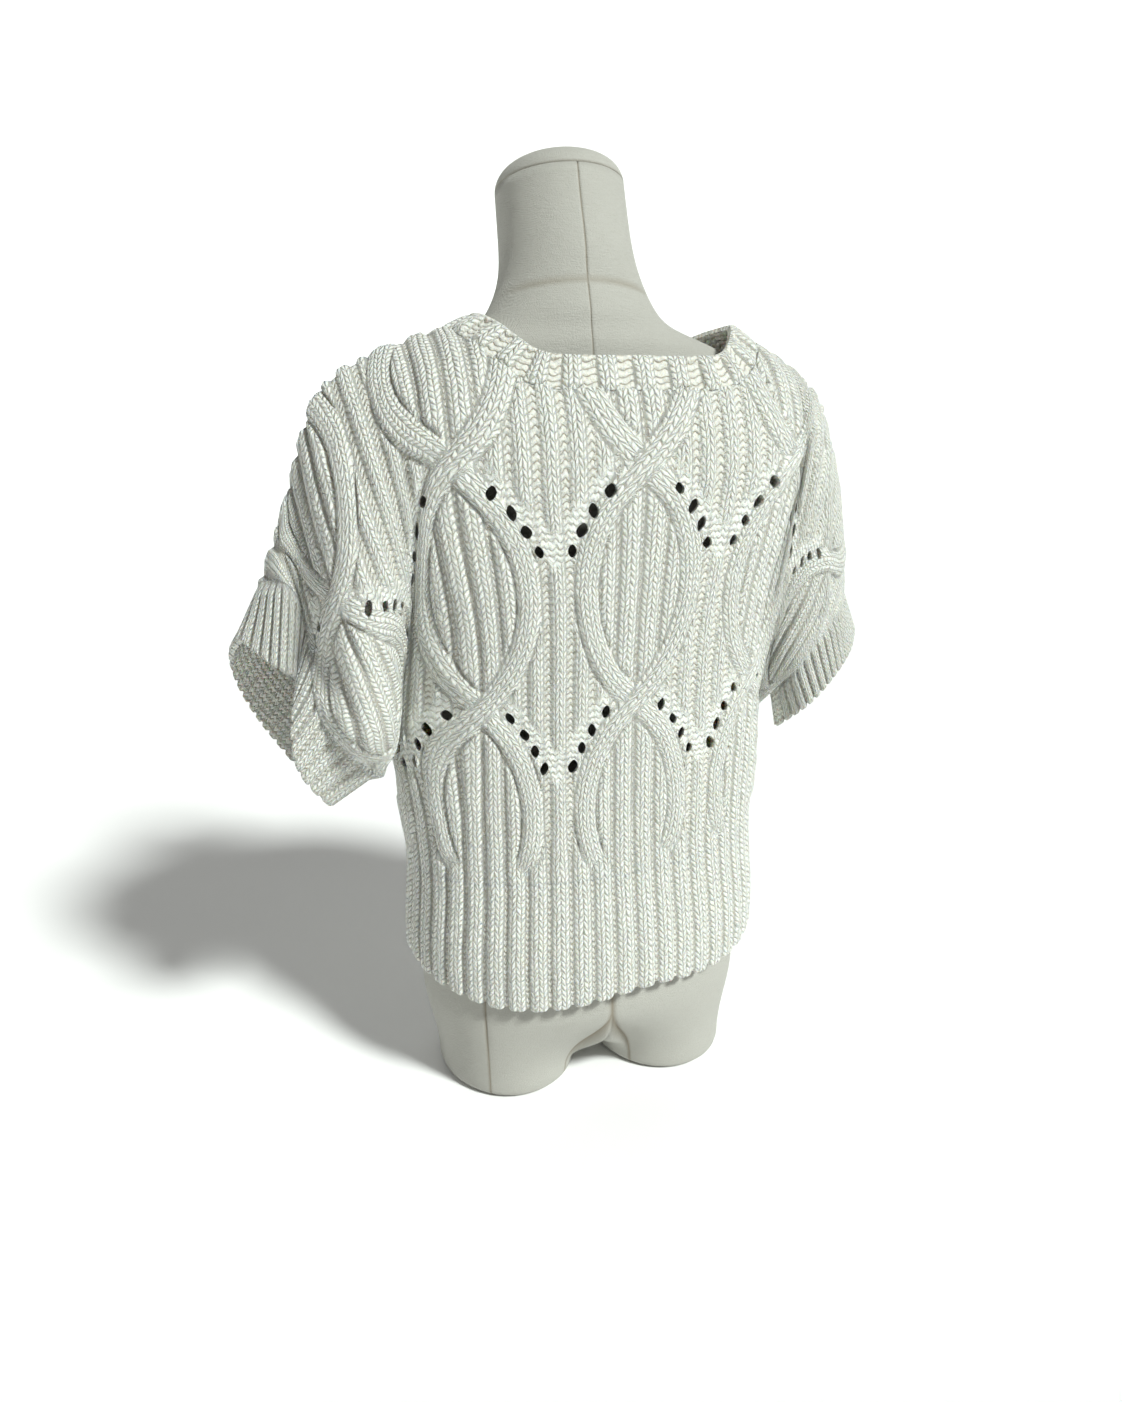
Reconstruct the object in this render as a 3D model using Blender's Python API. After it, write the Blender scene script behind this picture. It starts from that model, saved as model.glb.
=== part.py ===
"""Cropped cable-and-lace sweater on a limbless dress form.

The sweater is cut as two T-shaped knitted panels with cut-on elbow sleeves, a ribbed hem on each
panel, a ribbed neckband and two ribbed cuffs.  Every cloth piece is a closed wall: a plain inner
face, and an outer face that carries the ribs and travelling bands.  Lengths are in millimetres
until a mesh is made.  +Z is up, the form faces -Y, and the wearer's left is +X.

Flat co-ordinates of a panel: s runs sideways from its centre line, t runs up from the top of the
hem rib.
"""
import bpy
import numpy as np
from mathutils.geometry import delaunay_2d_cdt

MM = 0.001
CENTRE_X = 5.75           # middle of the whole part's box, which becomes the origin
CENTRE_Y = -4.29

# ---- Knit and cut -------------------------------------------------------------------------------
HALF_WIDTH = 265.0        # panel half width between the side seams
SHOULDER_T = 505.0        # flat height of the shoulder and overarm seam
UNDERARM_T = 140.0        # flat height of the underarm seam
NECK_HALF = 138.0         # flat half width of the neck opening
NECK_CORNER = 8.0         # squareness of the back neckline's corners
BACK_NECK_T = 408.0       # flat height of the neckline at the centre back
FRONT_NECK_T = 358.0      # flat height of the neckline at the centre front
SLEEVE_LOW = 335.0        # flat reach of the sleeve at the underarm seam
SLEEVE_HIGH = 400.0       # flat reach of the sleeve at the overarm seam
HEM_TOP_Z = 246.0         # height of the top of the hem rib
HEM_EDGE_Z = 119.0        # height of the hem edge at the centre
WALL = 3.0                # thinnest cloth
INSIDE = 3.0              # inner face, measured in from the garment's mean outline
NORMAL_SPAN = 9.0         # cloth either side of a point that its normal is taken from
SEAM_GAP = 0.5            # clear gap between two pieces that are sewn together
CUFF_GAP = 0.8            # the same at a cuff, whose ribs are thicker

LEAF_REPEAT = 152.0       # width of one leaf column
LEAF_LENGTH = 195.0       # length of one leaf
CROSSING_T = 162.0        # flat height of the lower crossing
BAND_NEAR = 15.0          # band centre from the column's centre at a crossing
BAND_FAR = 50.0           # band centre from the column's centre half way down a leaf
BAND_WIDTH = 22.0         # width of a travelling band
RIB_RISE = 3.0            # height of a rib over the wall
BAND_RISE = 4.6           # height of a travelling band over the wall

EYELET_WIDTH = 7.4        # flat width of an eyelet
EYELET_HEIGHT = 9.0       # flat height of an eyelet
EYELET_TIPS_T = (98.0, 282.0)     # flat heights of the tips of the two rows of Vs
# from the tip of a V: sideways, up
EYELETS = ((14.0, 11.0), (23.0, 27.0), (33.0, 42.0), (47.0, 57.0))
FRONT_EYELET_REACH = 200.0        # the front panel has no eyelets past this
EYELET_MARGIN = 5.0       # cloth left between an eyelet and a panel edge
CELL_SLANT = 0.08         # rows that the grid is slanted for each column
EDGE_BOW = 2e-5           # outward bow of a straight edge, so that no three of its points are in line
EYELET_CLEAR = 0.22       # least distance of a grid point from an eyelet, in grid cells

HEM_RIB = 21.7            # flat width of one hem rib
CUFF_RIBS = 15            # ribs on one face of a cuff
NECK_RIB = 31.0
NECKBAND_DEPTH = 29.0
NECKBAND_STAND = 7.0      # how far the band's free edge stands up from the shoulders
TRIM_RISE = 3.0

# ---- How the garment hangs ----------------------------------------------------------------------
TURN = -17.0              # how far the garment is turned round the form
LEAN = -0.05              # how far it drops towards the wearer's left
DOME_T = 347.0            # flat height at which the cloth starts to curve over the shoulders
DOME_Z = 590.0
UPPER_GAIN = 0.05         # extra stretch across the shoulder blades

# height, left, right, back, front, squareness of the body's cross-section
BODY_SECTIONS = (
    (105.0, 173.0, -180.0, 135.0, -126.0, 2.1),
    (180.0, 173.0, -180.0, 132.0, -122.0, 2.1),
    (243.0, 168.0, -176.0, 122.0, -117.0, 2.1),
    (300.0, 172.0, -180.0, 117.0, -119.0, 2.1),
    (370.0, 172.0, -182.0, 114.0, -126.0, 2.15),
    (450.0, 170.0, -184.0, 112.0, -136.0, 2.2),
    (520.0, 172.0, -192.0, 112.0, -143.0, 2.4),
    (590.0, 186.0, -210.0, 110.0, -136.0, 2.7),
)
# flat place, x, z of the shoulder seam; its inner points only guide the cloth round the neck
SHOULDER_SEAM = (
    (-165.0, -186.0, 679.0),
    (-138.0, -165.0, 692.0),
    (-60.0, -84.0, 704.0),
    (0.0, -29.0, 706.0),
    (60.0, 32.0, 706.0),
    (138.0, 110.0, 703.0),
    (165.0, 136.0, 694.0),
)
SHOULDER_Y = 12.0

# Sleeve sections: a row for each line of stitches, from the armpit to the cuff seam.  Each holds
# x, y, z at five flat heights: underarm, low, middle, high, overarm.
SLEEVE_LEVELS = (140.0, 230.0, 320.0, 410.0, 505.0)
SLEEVE_STATIONS = (210.0, 238.0, 265.0, 300.0, 335.0, 370.0, 405.0)   # the front has the last five
BODY_STATIONS = (90.0, 130.0, 165.0)
LEFT_BACK = (
    ((163, 38, 378), (154, 48, 464), (158, 70, 538), (170, 66, 616), (180, 12, 676)),
    ((170, 22, 371), (162, 34, 449), (170, 72, 514), (188, 68, 592), (202, 11, 667)),
    ((176, 6, 362), (170, 34, 430), (184, 78, 488), (206, 65, 568), (220, 10, 648)),
    ((182, 22, 355), (181, 62, 404), (202, 82, 470), (224, 50, 548), (234, 6, 615)),
    ((187, 38, 350), (196, 84, 394), (219, 70, 464), (235, 26, 534), (247, 2, 578)),
    ((193, 46, 344), (218, 80, 394), (234, 36, 456), (249, 16, 528), (261, 0, 542)),
    ((198, 48, 340), (237, 52, 400), (243, 22, 464), (258, 20, 508), (277, -3, 505)),
)
LEFT_FRONT = (
    ((176, 6, 362), (178, -40, 430), (188, -76, 498), (206, -64, 574), (220, 10, 648)),
    ((182, 22, 355), (193, -44, 420), (208, -76, 484), (226, -56, 556), (234, 6, 615)),
    ((187, 38, 350), (208, -42, 408), (228, -70, 464), (243, -52, 530), (247, 2, 578)),
    ((193, 46, 344), (221, -34, 396), (244, -60, 440), (260, -50, 494), (261, 0, 542)),
    ((198, 48, 340), (232, -22, 384), (258, -50, 418), (276, -44, 462), (277, -3, 505)),
)
RIGHT_BACK = (
    ((-174, 34, 380), (-177, 56, 464), (-190, 66, 546), (-203, 58, 622), (-213, 12, 661)),
    ((-180, 16, 368), (-182, 46, 450), (-199, 62, 528), (-216, 55, 600), (-232, 11, 648)),
    ((-183, -4, 352), (-189, 36, 436), (-209, 56, 508), (-228, 46, 578), (-241, 10, 625)),
    ((-189, -4, 354), (-197, 38, 426), (-220, 51, 488), (-242, 38, 552), (-255, 6, 591)),
    ((-196, -3, 360), (-204, 39, 417), (-230, 46, 470), (-252, 32, 524), (-266, 2, 552)),
    ((-203, -2, 368), (-211, 37, 411), (-238, 40, 454), (-260, 26, 492), (-275, -2, 512)),
    ((-210, 0, 376), (-217, 33, 406), (-245, 32, 438), (-268, 18, 456), (-281, -6, 470)),
)
RIGHT_FRONT = (
    ((-183, -4, 352), (-194, -50, 436), (-214, -70, 508), (-231, -54, 578), (-241, 10, 625)),
    ((-189, -4, 354), (-203, -50, 426), (-228, -64, 490), (-246, -48, 556), (-255, 6, 591)),
    ((-196, -3, 360), (-210, -48, 418), (-238, -60, 470), (-258, -44, 528), (-266, 2, 552)),
    ((-203, -2, 368), (-217, -45, 411), (-246, -54, 454), (-266, -38, 494), (-275, -2, 512)),
    ((-210, 0, 376), (-224, -42, 404), (-252, -48, 434), (-272, -34, 458), (-281, -6, 470)),
)
# the open edge of each cuff at the same five heights
CUFF_EDGES = {
    (1, 1): ((240, 30, 307), (268, 54, 366), (258, 24, 416), (269, 24, 434), (301, -3, 458)),
    (1, -1): ((240, 30, 307), (276, -34, 345), (300, -54, 380), (314, -50, 425), (301, -3, 458)),
    (-1, 1): ((-217, 3, 332), (-236, 32, 362), (-262, 30, 388), (-286, 14, 408), (-302, -8, 424)),
    (-1, -1): ((-217, 3, 332), (-242, -40, 360), (-270, -46, 384), (-292, -36, 410), (-302, -8, 424)),
}
SLEEVES = {(1, 1): LEFT_BACK, (1, -1): LEFT_FRONT, (-1, 1): RIGHT_BACK, (-1, -1): RIGHT_FRONT}
BACK, FRONT = 1, -1

# ---- Dress form ---------------------------------------------------------------------------------
FORM_SIDES = 40
# centre y, centre z, forward tilt in degrees, half width, back, front, squareness
FORM_SECTIONS = (
    (-35.0, 812.7, 12.65, 54.4, 57.0, 57.0, 2.0),
    (-24.0, 780.0, 14.0, 55.5, 57.0, 57.0, 2.0),
    (-13.0, 748.0, 16.0, 59.0, 58.0, 58.0, 2.0),
    (-5.0, 724.0, 16.0, 69.0, 55.0, 60.0, 1.9),
    (0.0, 709.6, 12.0, 80.5, 56.0, 62.0, 1.75),
    (4.0, 699.0, 8.0, 104.0, 54.0, 64.0, 1.6),
    (8.0, 690.0, 5.0, 128.0, 53.0, 68.0, 1.6),
    (9.0, 680.0, 4.0, 150.0, 54.0, 74.0, 1.65),
    (9.0, 666.0, 3.0, 175.0, 60.0, 82.0, 1.75),
    (7.0, 650.0, 2.0, 191.0, 69.0, 92.0, 1.75),
    (4.0, 628.0, 0.0, 199.0, 80.0, 104.0, 1.8),
    (2.0, 598.0, 0.0, 190.0, 87.0, 115.0, 1.85),
    (0.0, 560.0, 0.0, 173.0, 90.0, 122.0, 1.9),
    (0.0, 515.0, 0.0, 154.0, 89.0, 122.0, 2.0),
    (0.0, 455.0, 0.0, 137.0, 83.0, 106.0, 2.0),
    (0.0, 390.0, 0.0, 128.0, 79.0, 92.0, 2.0),
    (1.0, 310.0, 0.0, 137.0, 88.0, 94.0, 2.05),
    (4.0, 230.0, 0.0, 152.0, 102.0, 102.0, 2.15),
    (6.0, 160.0, 0.0, 161.0, 112.0, 107.0, 2.2),
    (7.0, 100.0, 0.0, 164.0, 115.0, 110.0, 2.2),
)
CROTCH_Z = 30.0           # top of the arch between the thigh stubs
CROTCH_CENTRE_Y = 7.0
STUB_X = 82.0             # centre of a stub's foot
STUB_HALF_WIDTH = 70.0
STUB_HALF_DEPTH = 88.0
STUB_FOOT_ROUND = 9.0
CAP_RISE = 20.0

COLOURS = {
    "ivory_yarn": (0.83, 0.81, 0.74),
    "linen_cover": (0.66, 0.63, 0.56),
}


# ---- Numbers ------------------------------------------------------------------------------------
def smooth(x):
    """Ease from 0 to 1."""
    x = np.clip(x, 0.0, 1.0)
    return x * x * (3.0 - 2.0 * x)


def unit(v):
    return v / np.maximum(np.linalg.norm(v, axis=-1, keepdims=True), 1e-9)


def spline(knots, values, x):
    """Natural cubic spline through values (knots, points, 3), read at one x for each point."""
    k = np.asarray(knots, float)
    n = len(k)
    h = np.diff(k)
    left = np.eye(n)
    right = np.zeros((n, n))
    for i in range(1, n - 1):
        left[i, i - 1:i + 2] = h[i - 1], 2.0 * (h[i - 1] + h[i]), h[i]
        right[i, i - 1:i + 2] = 6.0 / h[i - 1], -6.0 / h[i - 1] - 6.0 / h[i], 6.0 / h[i]
    bend = np.tensordot(np.linalg.solve(left, right), values, 1)
    i = np.clip(np.searchsorted(k, x) - 1, 0, n - 2)
    p = np.arange(len(x))
    step = h[i][:, None]
    b = ((x - k[i]) / h[i])[:, None]
    b = np.clip(b, 0.0, 1.0)
    a = 1.0 - b
    curve = (a**3 - a) * bend[i, p] + (b**3 - b) * bend[i + 1, p]
    return a * values[i, p] + b * values[i + 1, p] + curve * step**2 / 6.0


# ---- The hanging garment ------------------------------------------------------------------------
def body_section(z):
    table = np.array(BODY_SECTIONS)
    z = np.clip(z, table[0, 0], table[-1, 0])
    rows = np.repeat(table[:, None, 1:], len(z), axis=1)
    return spline(table[:, 0], rows, z).T


def ring_point(arc, z):
    """x and y at an arc length from the centre back, counted towards the wearer's left."""
    left, right, back, front, power = body_section(z)
    on_back = np.abs(arc) <= HALF_WIDTH
    quarter = np.where(on_back, np.abs(arc), 2.0 * HALF_WIDTH - np.abs(arc)) / HALF_WIDTH
    width = (left - right) / 2.0
    depth = np.where(on_back, back, -front)
    angle = np.linspace(0.0, np.pi / 2.0, 97)[:, None]
    x = width * np.sin(angle) ** (2.0 / power)
    y = depth * np.cos(angle) ** (2.0 / power)
    run = np.hypot(np.diff(x, axis=0), np.diff(y, axis=0)).cumsum(axis=0)
    run = np.vstack([np.zeros((1, run.shape[1])), run])
    target = quarter * run[-1]
    i = np.clip((run < target).sum(axis=0) - 1, 0, len(run) - 2)
    p = np.arange(len(z))
    f = (target - run[i, p]) / (run[i + 1, p] - run[i, p])
    px = x[i, p] + f * (x[i + 1, p] - x[i, p])
    py = y[i, p] + f * (y[i + 1, p] - y[i, p])
    return (left + right) / 2.0 + np.sign(arc) * px, np.where(on_back, py, -py)


def shoulder_point(s):
    """The shoulder seam at a flat place, near the neck."""
    table = np.array(SHOULDER_SEAM)
    x = np.interp(s, table[:, 0], table[:, 1])
    z = np.interp(s, table[:, 0], table[:, 2])
    return np.stack([x, np.full_like(x, SHOULDER_Y), z], axis=1)


def body_point(s, t, face):
    """A panel's point on the body: rings below, curving over to the shoulder seam above."""
    gain = 1.0 + UPPER_GAIN * smooth((t - 200.0) / 140.0)
    over = s * gain if face == BACK else np.where(s > 0, 2.0, -2.0) * HALF_WIDTH - s * gain
    arc = over + TURN
    arc = (arc + 2.0 * HALF_WIDTH) % (4.0 * HALF_WIDTH) - 2.0 * HALF_WIDTH
    z = HEM_TOP_Z + np.minimum(t, DOME_T) * (DOME_Z - HEM_TOP_Z) / DOME_T
    x, y = ring_point(arc, z)
    z = z + LEAN * x * (1.0 - smooth(t / 400.0))
    ring = np.stack([x, y, z], axis=1)
    seam = shoulder_point(s)
    turn = np.clip((t - DOME_T) / (SHOULDER_T - DOME_T), 0.0, 1.0) * np.pi / 2.0
    across = np.cos(turn)[:, None]
    rise = np.sin(turn)
    point = seam + (ring - seam) * across
    point[:, 2] = ring[:, 2] + (seam[:, 2] - ring[:, 2]) * rise
    return point


def sleeve_reach(t):
    return SLEEVE_LOW + (SLEEVE_HIGH - SLEEVE_LOW) * (t - UNDERARM_T) / (SHOULDER_T - UNDERARM_T)


def raw_point(s, t, face):
    """A panel's point before its seams are matched to the other panel's."""
    point = body_point(s, t, face)
    far = np.abs(s)
    last = SLEEVE_STATIONS[-1] - HALF_WIDTH
    stretch = last / (sleeve_reach(t) - HALF_WIDTH)
    place = np.where(far <= HALF_WIDTH, far, HALF_WIDTH + (far - HALF_WIDTH) * stretch)
    levels = np.array(SLEEVE_LEVELS)
    for side in (1, -1):
        here = s * side > 90.0
        if not here.any():
            continue
        table = SLEEVES[side, face]
        near = BODY_STATIONS if face == BACK else BODY_STATIONS[:2]
        rows = [body_point(np.full(len(levels), side * q), levels, face) for q in near]
        rows += [np.array(row, float) for row in table]
        knots = near + SLEEVE_STATIONS[-len(table):]
        height = np.maximum(t[here], levels[0])
        lines = np.stack([spline(levels, np.repeat(row[:, None], len(height), 1), height) for row in rows])
        sleeve = spline(knots, lines, place[here])
        below = np.minimum(t[here] - levels[0], 0.0)
        sleeve[:, 2] += below
        share = (smooth((place[here] - 100.0) / 80.0) * smooth((t[here] - 50.0) / 90.0))[:, None]
        point[here] += (sleeve - point[here]) * share
    return point


def panel_point(s, t, face):
    """A point of a panel's mean outline, with both panels meeting along every seam."""
    s = np.asarray(s, float)
    t = np.asarray(t, float)
    point = raw_point(s, t, face)
    side = np.where(s < 0, -1.0, 1.0)
    far = np.abs(s)

    def pull(edge_s, edge_t):
        return (raw_point(edge_s, edge_t, -face) - raw_point(edge_s, edge_t, face)) / 2.0

    body_share = smooth((far - 190.0) / (HALF_WIDTH - 190.0)) * (t < UNDERARM_T)
    point += pull(side * HALF_WIDTH, t) * body_share[:, None]
    sleeve = far > HALF_WIDTH
    under_share = (1.0 - smooth((t - UNDERARM_T) / 90.0)) * sleeve
    at_seam = np.full_like(t, UNDERARM_T)
    reach = HALF_WIDTH + (far - HALF_WIDTH) * (SLEEVE_LOW - HALF_WIDTH) / (sleeve_reach(t) - HALF_WIDTH)
    point += pull(side * np.where(sleeve, reach, far), at_seam) * under_share[:, None]
    over_share = smooth((t - 420.0) / (SHOULDER_T - 420.0)) * (far > 90.0)
    at_top = np.full_like(t, SHOULDER_T)
    reach = HALF_WIDTH + (far - HALF_WIDTH) * (SLEEVE_HIGH - HALF_WIDTH) / (sleeve_reach(t) - HALF_WIDTH)
    point += pull(side * np.where(sleeve, reach, far), at_top) * over_share[:, None]
    return point


def panel_frame(s, t, face):
    """Point, outward normal, and the unit directions of growing s and growing t."""
    d = NORMAL_SPAN
    point = panel_point(s, t, face)
    limit = np.where(t < UNDERARM_T, HALF_WIDTH, sleeve_reach(t))
    along_s = unit(panel_point(np.minimum(s + d, limit), t, face)
                   - panel_point(np.maximum(s - d, -limit), t, face))
    low = np.maximum(t - d, np.where(np.abs(s) > HALF_WIDTH, UNDERARM_T, 0.0))
    high = np.minimum(t + d, SHOULDER_T)
    along_t = unit(panel_point(s, high, face) - panel_point(s, low, face))
    normal = unit(np.cross(along_s, along_t)) * -face
    return point, normal, along_s, along_t


# ---- Relief of the knit -------------------------------------------------------------------------
def leaf_lines(t):
    """Distances of ten stitch lines from a leaf column's centre, out to the middle of a V."""
    phase = ((CROSSING_T - t) % LEAF_LENGTH) / LEAF_LENGTH
    band = BAND_NEAR + (BAND_FAR - BAND_NEAR) * np.sin(np.pi * phase)
    inner = band - BAND_WIDTH / 2.0
    outer = band + BAND_WIDTH / 2.0
    middle = np.full_like(band, LEAF_REPEAT / 2.0)
    ribs = [inner * f for f in (0.0, 0.25, 0.5, 0.75, 1.0)]
    outside = [outer + (middle - outer) * f for f in (0.0, 1.0 / 3.0, 2.0 / 3.0, 1.0)]
    return np.stack(ribs + [band] + outside)


LINE_RISE = np.array([0.0, RIB_RISE, 0.0, RIB_RISE, 0.0, BAND_RISE, 0.0, RIB_RISE, 0.0, RIB_RISE])
BAND_LINE = 5             # place of the band's ridge in that list
OPEN_LEAF = 30.0          # half width at which a leaf's inner ribs reach their full height


def relief(s, t):
    """Height of the knit over the plain wall: ridges and valleys along the stitch lines."""
    lines = leaf_lines(t)
    rise = np.repeat(LINE_RISE[:, None], len(s), axis=1)
    rise[:BAND_LINE] *= smooth(lines[BAND_LINE - 1] / OPEN_LEAF)
    off = np.abs((s + LEAF_REPEAT / 2.0) % LEAF_REPEAT - LEAF_REPEAT / 2.0)
    i = np.clip((lines < off).sum(axis=0) - 1, 0, len(lines) - 2)
    p = np.arange(len(s))
    f = np.clip((off - lines[i, p]) / (lines[i + 1, p] - lines[i, p]), 0.0, 1.0)
    return rise[i, p] + f * (rise[i + 1, p] - rise[i, p])


# ---- Panels -------------------------------------------------------------------------------------
LEAF_COUNT = 7
LINES_PER_LEAF = 18
COLUMNS = LEAF_COUNT * LINES_PER_LEAF + 1
ROWS_T = (0.0, 32.5, 65.0, 97.0, 118.0, 140.0, 162.0, 194.5, 227.0, 259.5, 292.0, 324.5, 357.0,
          389.5, 422.0, 454.5, 480.0, 505.0)
NECKLINE_POINTS = 28
EDGE_CLEAR = 0.35         # least distance of a grid point from a panel edge, in grid cells
CORNER_CLEAR = 0.4
INNER_FOLD_COLUMNS = 44   # columns at each side whose inner face follows every fold


def column_lines(t):
    """s of every stitch line at the heights t, from the wearer's right to the left."""
    lines = leaf_lines(t)
    columns = []
    for leaf in range(LEAF_COUNT):
        centre = (leaf - (LEAF_COUNT - 1) / 2.0) * LEAF_REPEAT
        columns += [centre - lines[k] for k in range(len(lines) - 1, 0, -1)]
        columns += [centre + line for line in lines[:-1]]
    columns.append(centre + lines[-1])
    return np.stack(columns)


def flat_place(column, row):
    """Flat s and t of places in the grid of stitch lines and rows, both of them fractions."""
    t = np.interp(row, np.arange(len(ROWS_T)), ROWS_T)
    lines = column_lines(t)
    i = np.clip(column.astype(int), 0, COLUMNS - 2)
    p = np.arange(len(t))
    return lines[i, p] + (column - i) * (lines[i + 1, p] - lines[i, p]), t


def grid_place(s, t):
    """Fractional column and row of one flat place."""
    lines = column_lines(np.array([t]))[:, 0]
    column = np.interp(s, lines, np.arange(COLUMNS))
    return float(column), float(np.interp(t, ROWS_T, np.arange(len(ROWS_T))))


def neckline(face):
    """Flat places along a neckline, evenly spaced from the wearer's left to the right."""
    low = BACK_NECK_T if face == BACK else FRONT_NECK_T
    power = NECK_CORNER if face == BACK else NECK_CORNER / 2.0
    s = np.linspace(NECK_HALF, -NECK_HALF, 801)
    t = low + (SHOULDER_T - low) * (np.abs(s) / NECK_HALF) ** power
    run = np.concatenate([[0.0], np.hypot(np.diff(s), np.diff(t)).cumsum()])
    even = np.linspace(0.0, run[-1], NECKLINE_POINTS + 1)
    return np.interp(even, run, s), np.interp(even, run, t)


def cuff_heights():
    """Flat heights of the cuff seam's points: a valley and a ridge for each rib."""
    return np.linspace(UNDERARM_T, SHOULDER_T, 2 * CUFF_RIBS + 1)


def seam_columns(start, end, t):
    """Places along a level seam from start to end, one where each stitch line meets it."""
    first, row = grid_place(start, t)
    last, _ = grid_place(end, t)
    low, high = sorted((first, last))
    inner = [float(c) for c in range(COLUMNS) if low + CORNER_CLEAR < c < high - CORNER_CLEAR]
    return [(c, row) for c in (inner if last > first else inner[::-1])]


def panel_outline(face):
    """Outline of a panel in grid places, with a point wherever a seam needs one."""
    under = ROWS_T.index(UNDERARM_T)
    reach = [float(sleeve_reach(t)) for t in cuff_heights()]
    side = [grid_place(HALF_WIDTH, ROWS_T[r]) for r in range(under + 1)]
    cuff = [grid_place(s, t) for s, t in zip(reach, cuff_heights())]
    underarm = seam_columns(HALF_WIDTH, SLEEVE_LOW, UNDERARM_T)
    overarm = seam_columns(SLEEVE_HIGH, NECK_HALF, SHOULDER_T)
    left = side + underarm + cuff + overarm
    neck = [grid_place(s, t) for s, t in zip(*neckline(face))]
    right = [(COLUMNS - 1 - c, r) for c, r in reversed(left)]
    return left + neck + right + seam_columns(-HALF_WIDTH, HALF_WIDTH, 0.0)


def eyelet_outlines(face):
    """Grid outlines of the diamonds cut through a panel; the front has none on its sleeves."""
    outlines = []
    for column in (-2.5, -1.5, -0.5, 0.5, 1.5, 2.5):
        for tip in EYELET_TIPS_T:
            for away, up in EYELETS:
                for hand in (-1, 1):
                    s = column * LEAF_REPEAT + hand * away
                    t = tip + up
                    edge = sleeve_reach(t) if t > UNDERARM_T + EYELET_HEIGHT else HALF_WIDTH
                    edge = edge if face == BACK else FRONT_EYELET_REACH
                    if abs(s) > edge - EYELET_WIDTH / 2.0 - EYELET_MARGIN:
                        continue
                    corners = ((-0.5, 0.0), (0.0, -0.5), (0.5, 0.0), (0.0, 0.5))
                    outlines.append([grid_place(s + a * EYELET_WIDTH, t + b * EYELET_HEIGHT)
                                     for a, b in corners])
    return outlines


def inside_outline(places, outline):
    """Whether places lie inside a closed outline, by counting crossings."""
    x, y = places.T
    inside = np.zeros(len(x), bool)
    for (x0, y0), (x1, y1) in zip(outline, np.roll(outline, -1, axis=0)):
        crosses = (y0 > y) != (y1 > y)
        rise = y1 - y0 if y1 != y0 else 1.0
        inside ^= crosses & (x < x0 + (y - y0) * (x1 - x0) / rise)
    return inside


def distance_to_outline(places, outline):
    """Least distance of each place from a closed outline."""
    best = np.full(len(places), np.inf)
    for start, end in zip(outline, np.roll(outline, -1, axis=0)):
        run = end - start
        f = np.clip(((places - start) @ run) / max(run @ run, 1e-12), 0.0, 1.0)
        best = np.minimum(best, np.linalg.norm(places - start - f[:, None] * run, axis=1))
    return best


def inner_places(fine):
    """Grid places inside a panel: all of them, or fewer where the cloth hangs flat."""
    top = len(ROWS_T) - 1
    spots = [(c, r) for c in range(COLUMNS) for r in range(1, top)]
    if not fine:
        fold = INNER_FOLD_COLUMNS
        spots = [(c, r) for c, r in spots
                 if c % 3 == 0 and (r % 2 == 0 or not fold < c < COLUMNS - 1 - fold)]
    return np.array(spots, float)


def spread(places):
    """Grid places slanted so that cells split along their short way, with every edge bowed outwards."""
    x = places[:, 0] - (COLUMNS - 1) / 2.0
    y = places[:, 1] - (len(ROWS_T) - 1) / 2.0 - CELL_SLANT * np.abs(x)
    return np.stack([x * (1.0 - EDGE_BOW * y * y), y * (1.0 - EDGE_BOW * x * x)], axis=1)


def triangulate(face, fine):
    """Grid places and triangles of a panel with its eyelets left out, edge places first."""
    grid_loops = [np.array(loop) for loop in [panel_outline(face)] + eyelet_outlines(face)]
    loops = [spread(loop) for loop in grid_loops]
    grid_spots = inner_places(fine)
    spots = spread(grid_spots)
    keep = np.ones(len(spots), bool)
    edges = []
    base = 0
    for k, loop in enumerate(loops):
        clear = EYELET_CLEAR if k else EDGE_CLEAR
        keep &= (inside_outline(spots, loop) == (k == 0)) & (distance_to_outline(spots, loop) > clear)
        edges += [(base + i, base + (i + 1) % len(loop)) for i in range(len(loop))]
        base += len(loop)
    verts = np.vstack(loops + [spots[keep]])
    _, _, faces, _, _, _ = delaunay_2d_cdt(verts.tolist(), edges, [], 0, 1e-7)
    faces = np.array(faces)
    centre = verts[faces].mean(axis=1)
    good = np.ones(len(faces), bool)
    for k, loop in enumerate(loops):
        good &= inside_outline(centre, loop) == (k == 0)
    return np.vstack(grid_loops + [grid_spots[keep]]), faces[good]


def seam_frame(s, t, face):
    """Panel frame with one common normal wherever the two panels are sewn together."""
    point, normal, along_s, along_t = panel_frame(s, t, face)
    other = panel_frame(s, t, -face)[1]
    side = np.where(s < 0, -1.0, 1.0)[:, None]
    far = np.abs(s)
    close = 0.01
    on_side = (np.abs(far - HALF_WIDTH) < close) & (t <= UNDERARM_T + close)
    on_under = (np.abs(t - UNDERARM_T) < close) & (far >= HALF_WIDTH - close)
    on_over = (t > SHOULDER_T - close) & (far >= NECK_HALF - close)
    sewn = on_side | on_under | on_over
    common = np.where(sewn[:, None], unit(normal + other), normal)
    into = np.zeros_like(point)
    into[on_side] = (-side * along_s)[on_side]
    into[on_under & ~on_side] = along_t[on_under & ~on_side]
    corner = on_side & on_under
    into[corner] = unit(along_t + -side * along_s)[corner]
    into[on_over] = -along_t[on_over]
    seam = np.where((on_side & ~corner)[:, None], along_t, along_s)
    into = into - common * (into * common).sum(axis=1, keepdims=True)
    into[~corner] -= (seam * (into * seam).sum(axis=1, keepdims=True))[~corner]
    point = point + unit(into) * (SEAM_GAP / 2.0) * sewn[:, None]
    return point, common, along_s, along_t


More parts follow.
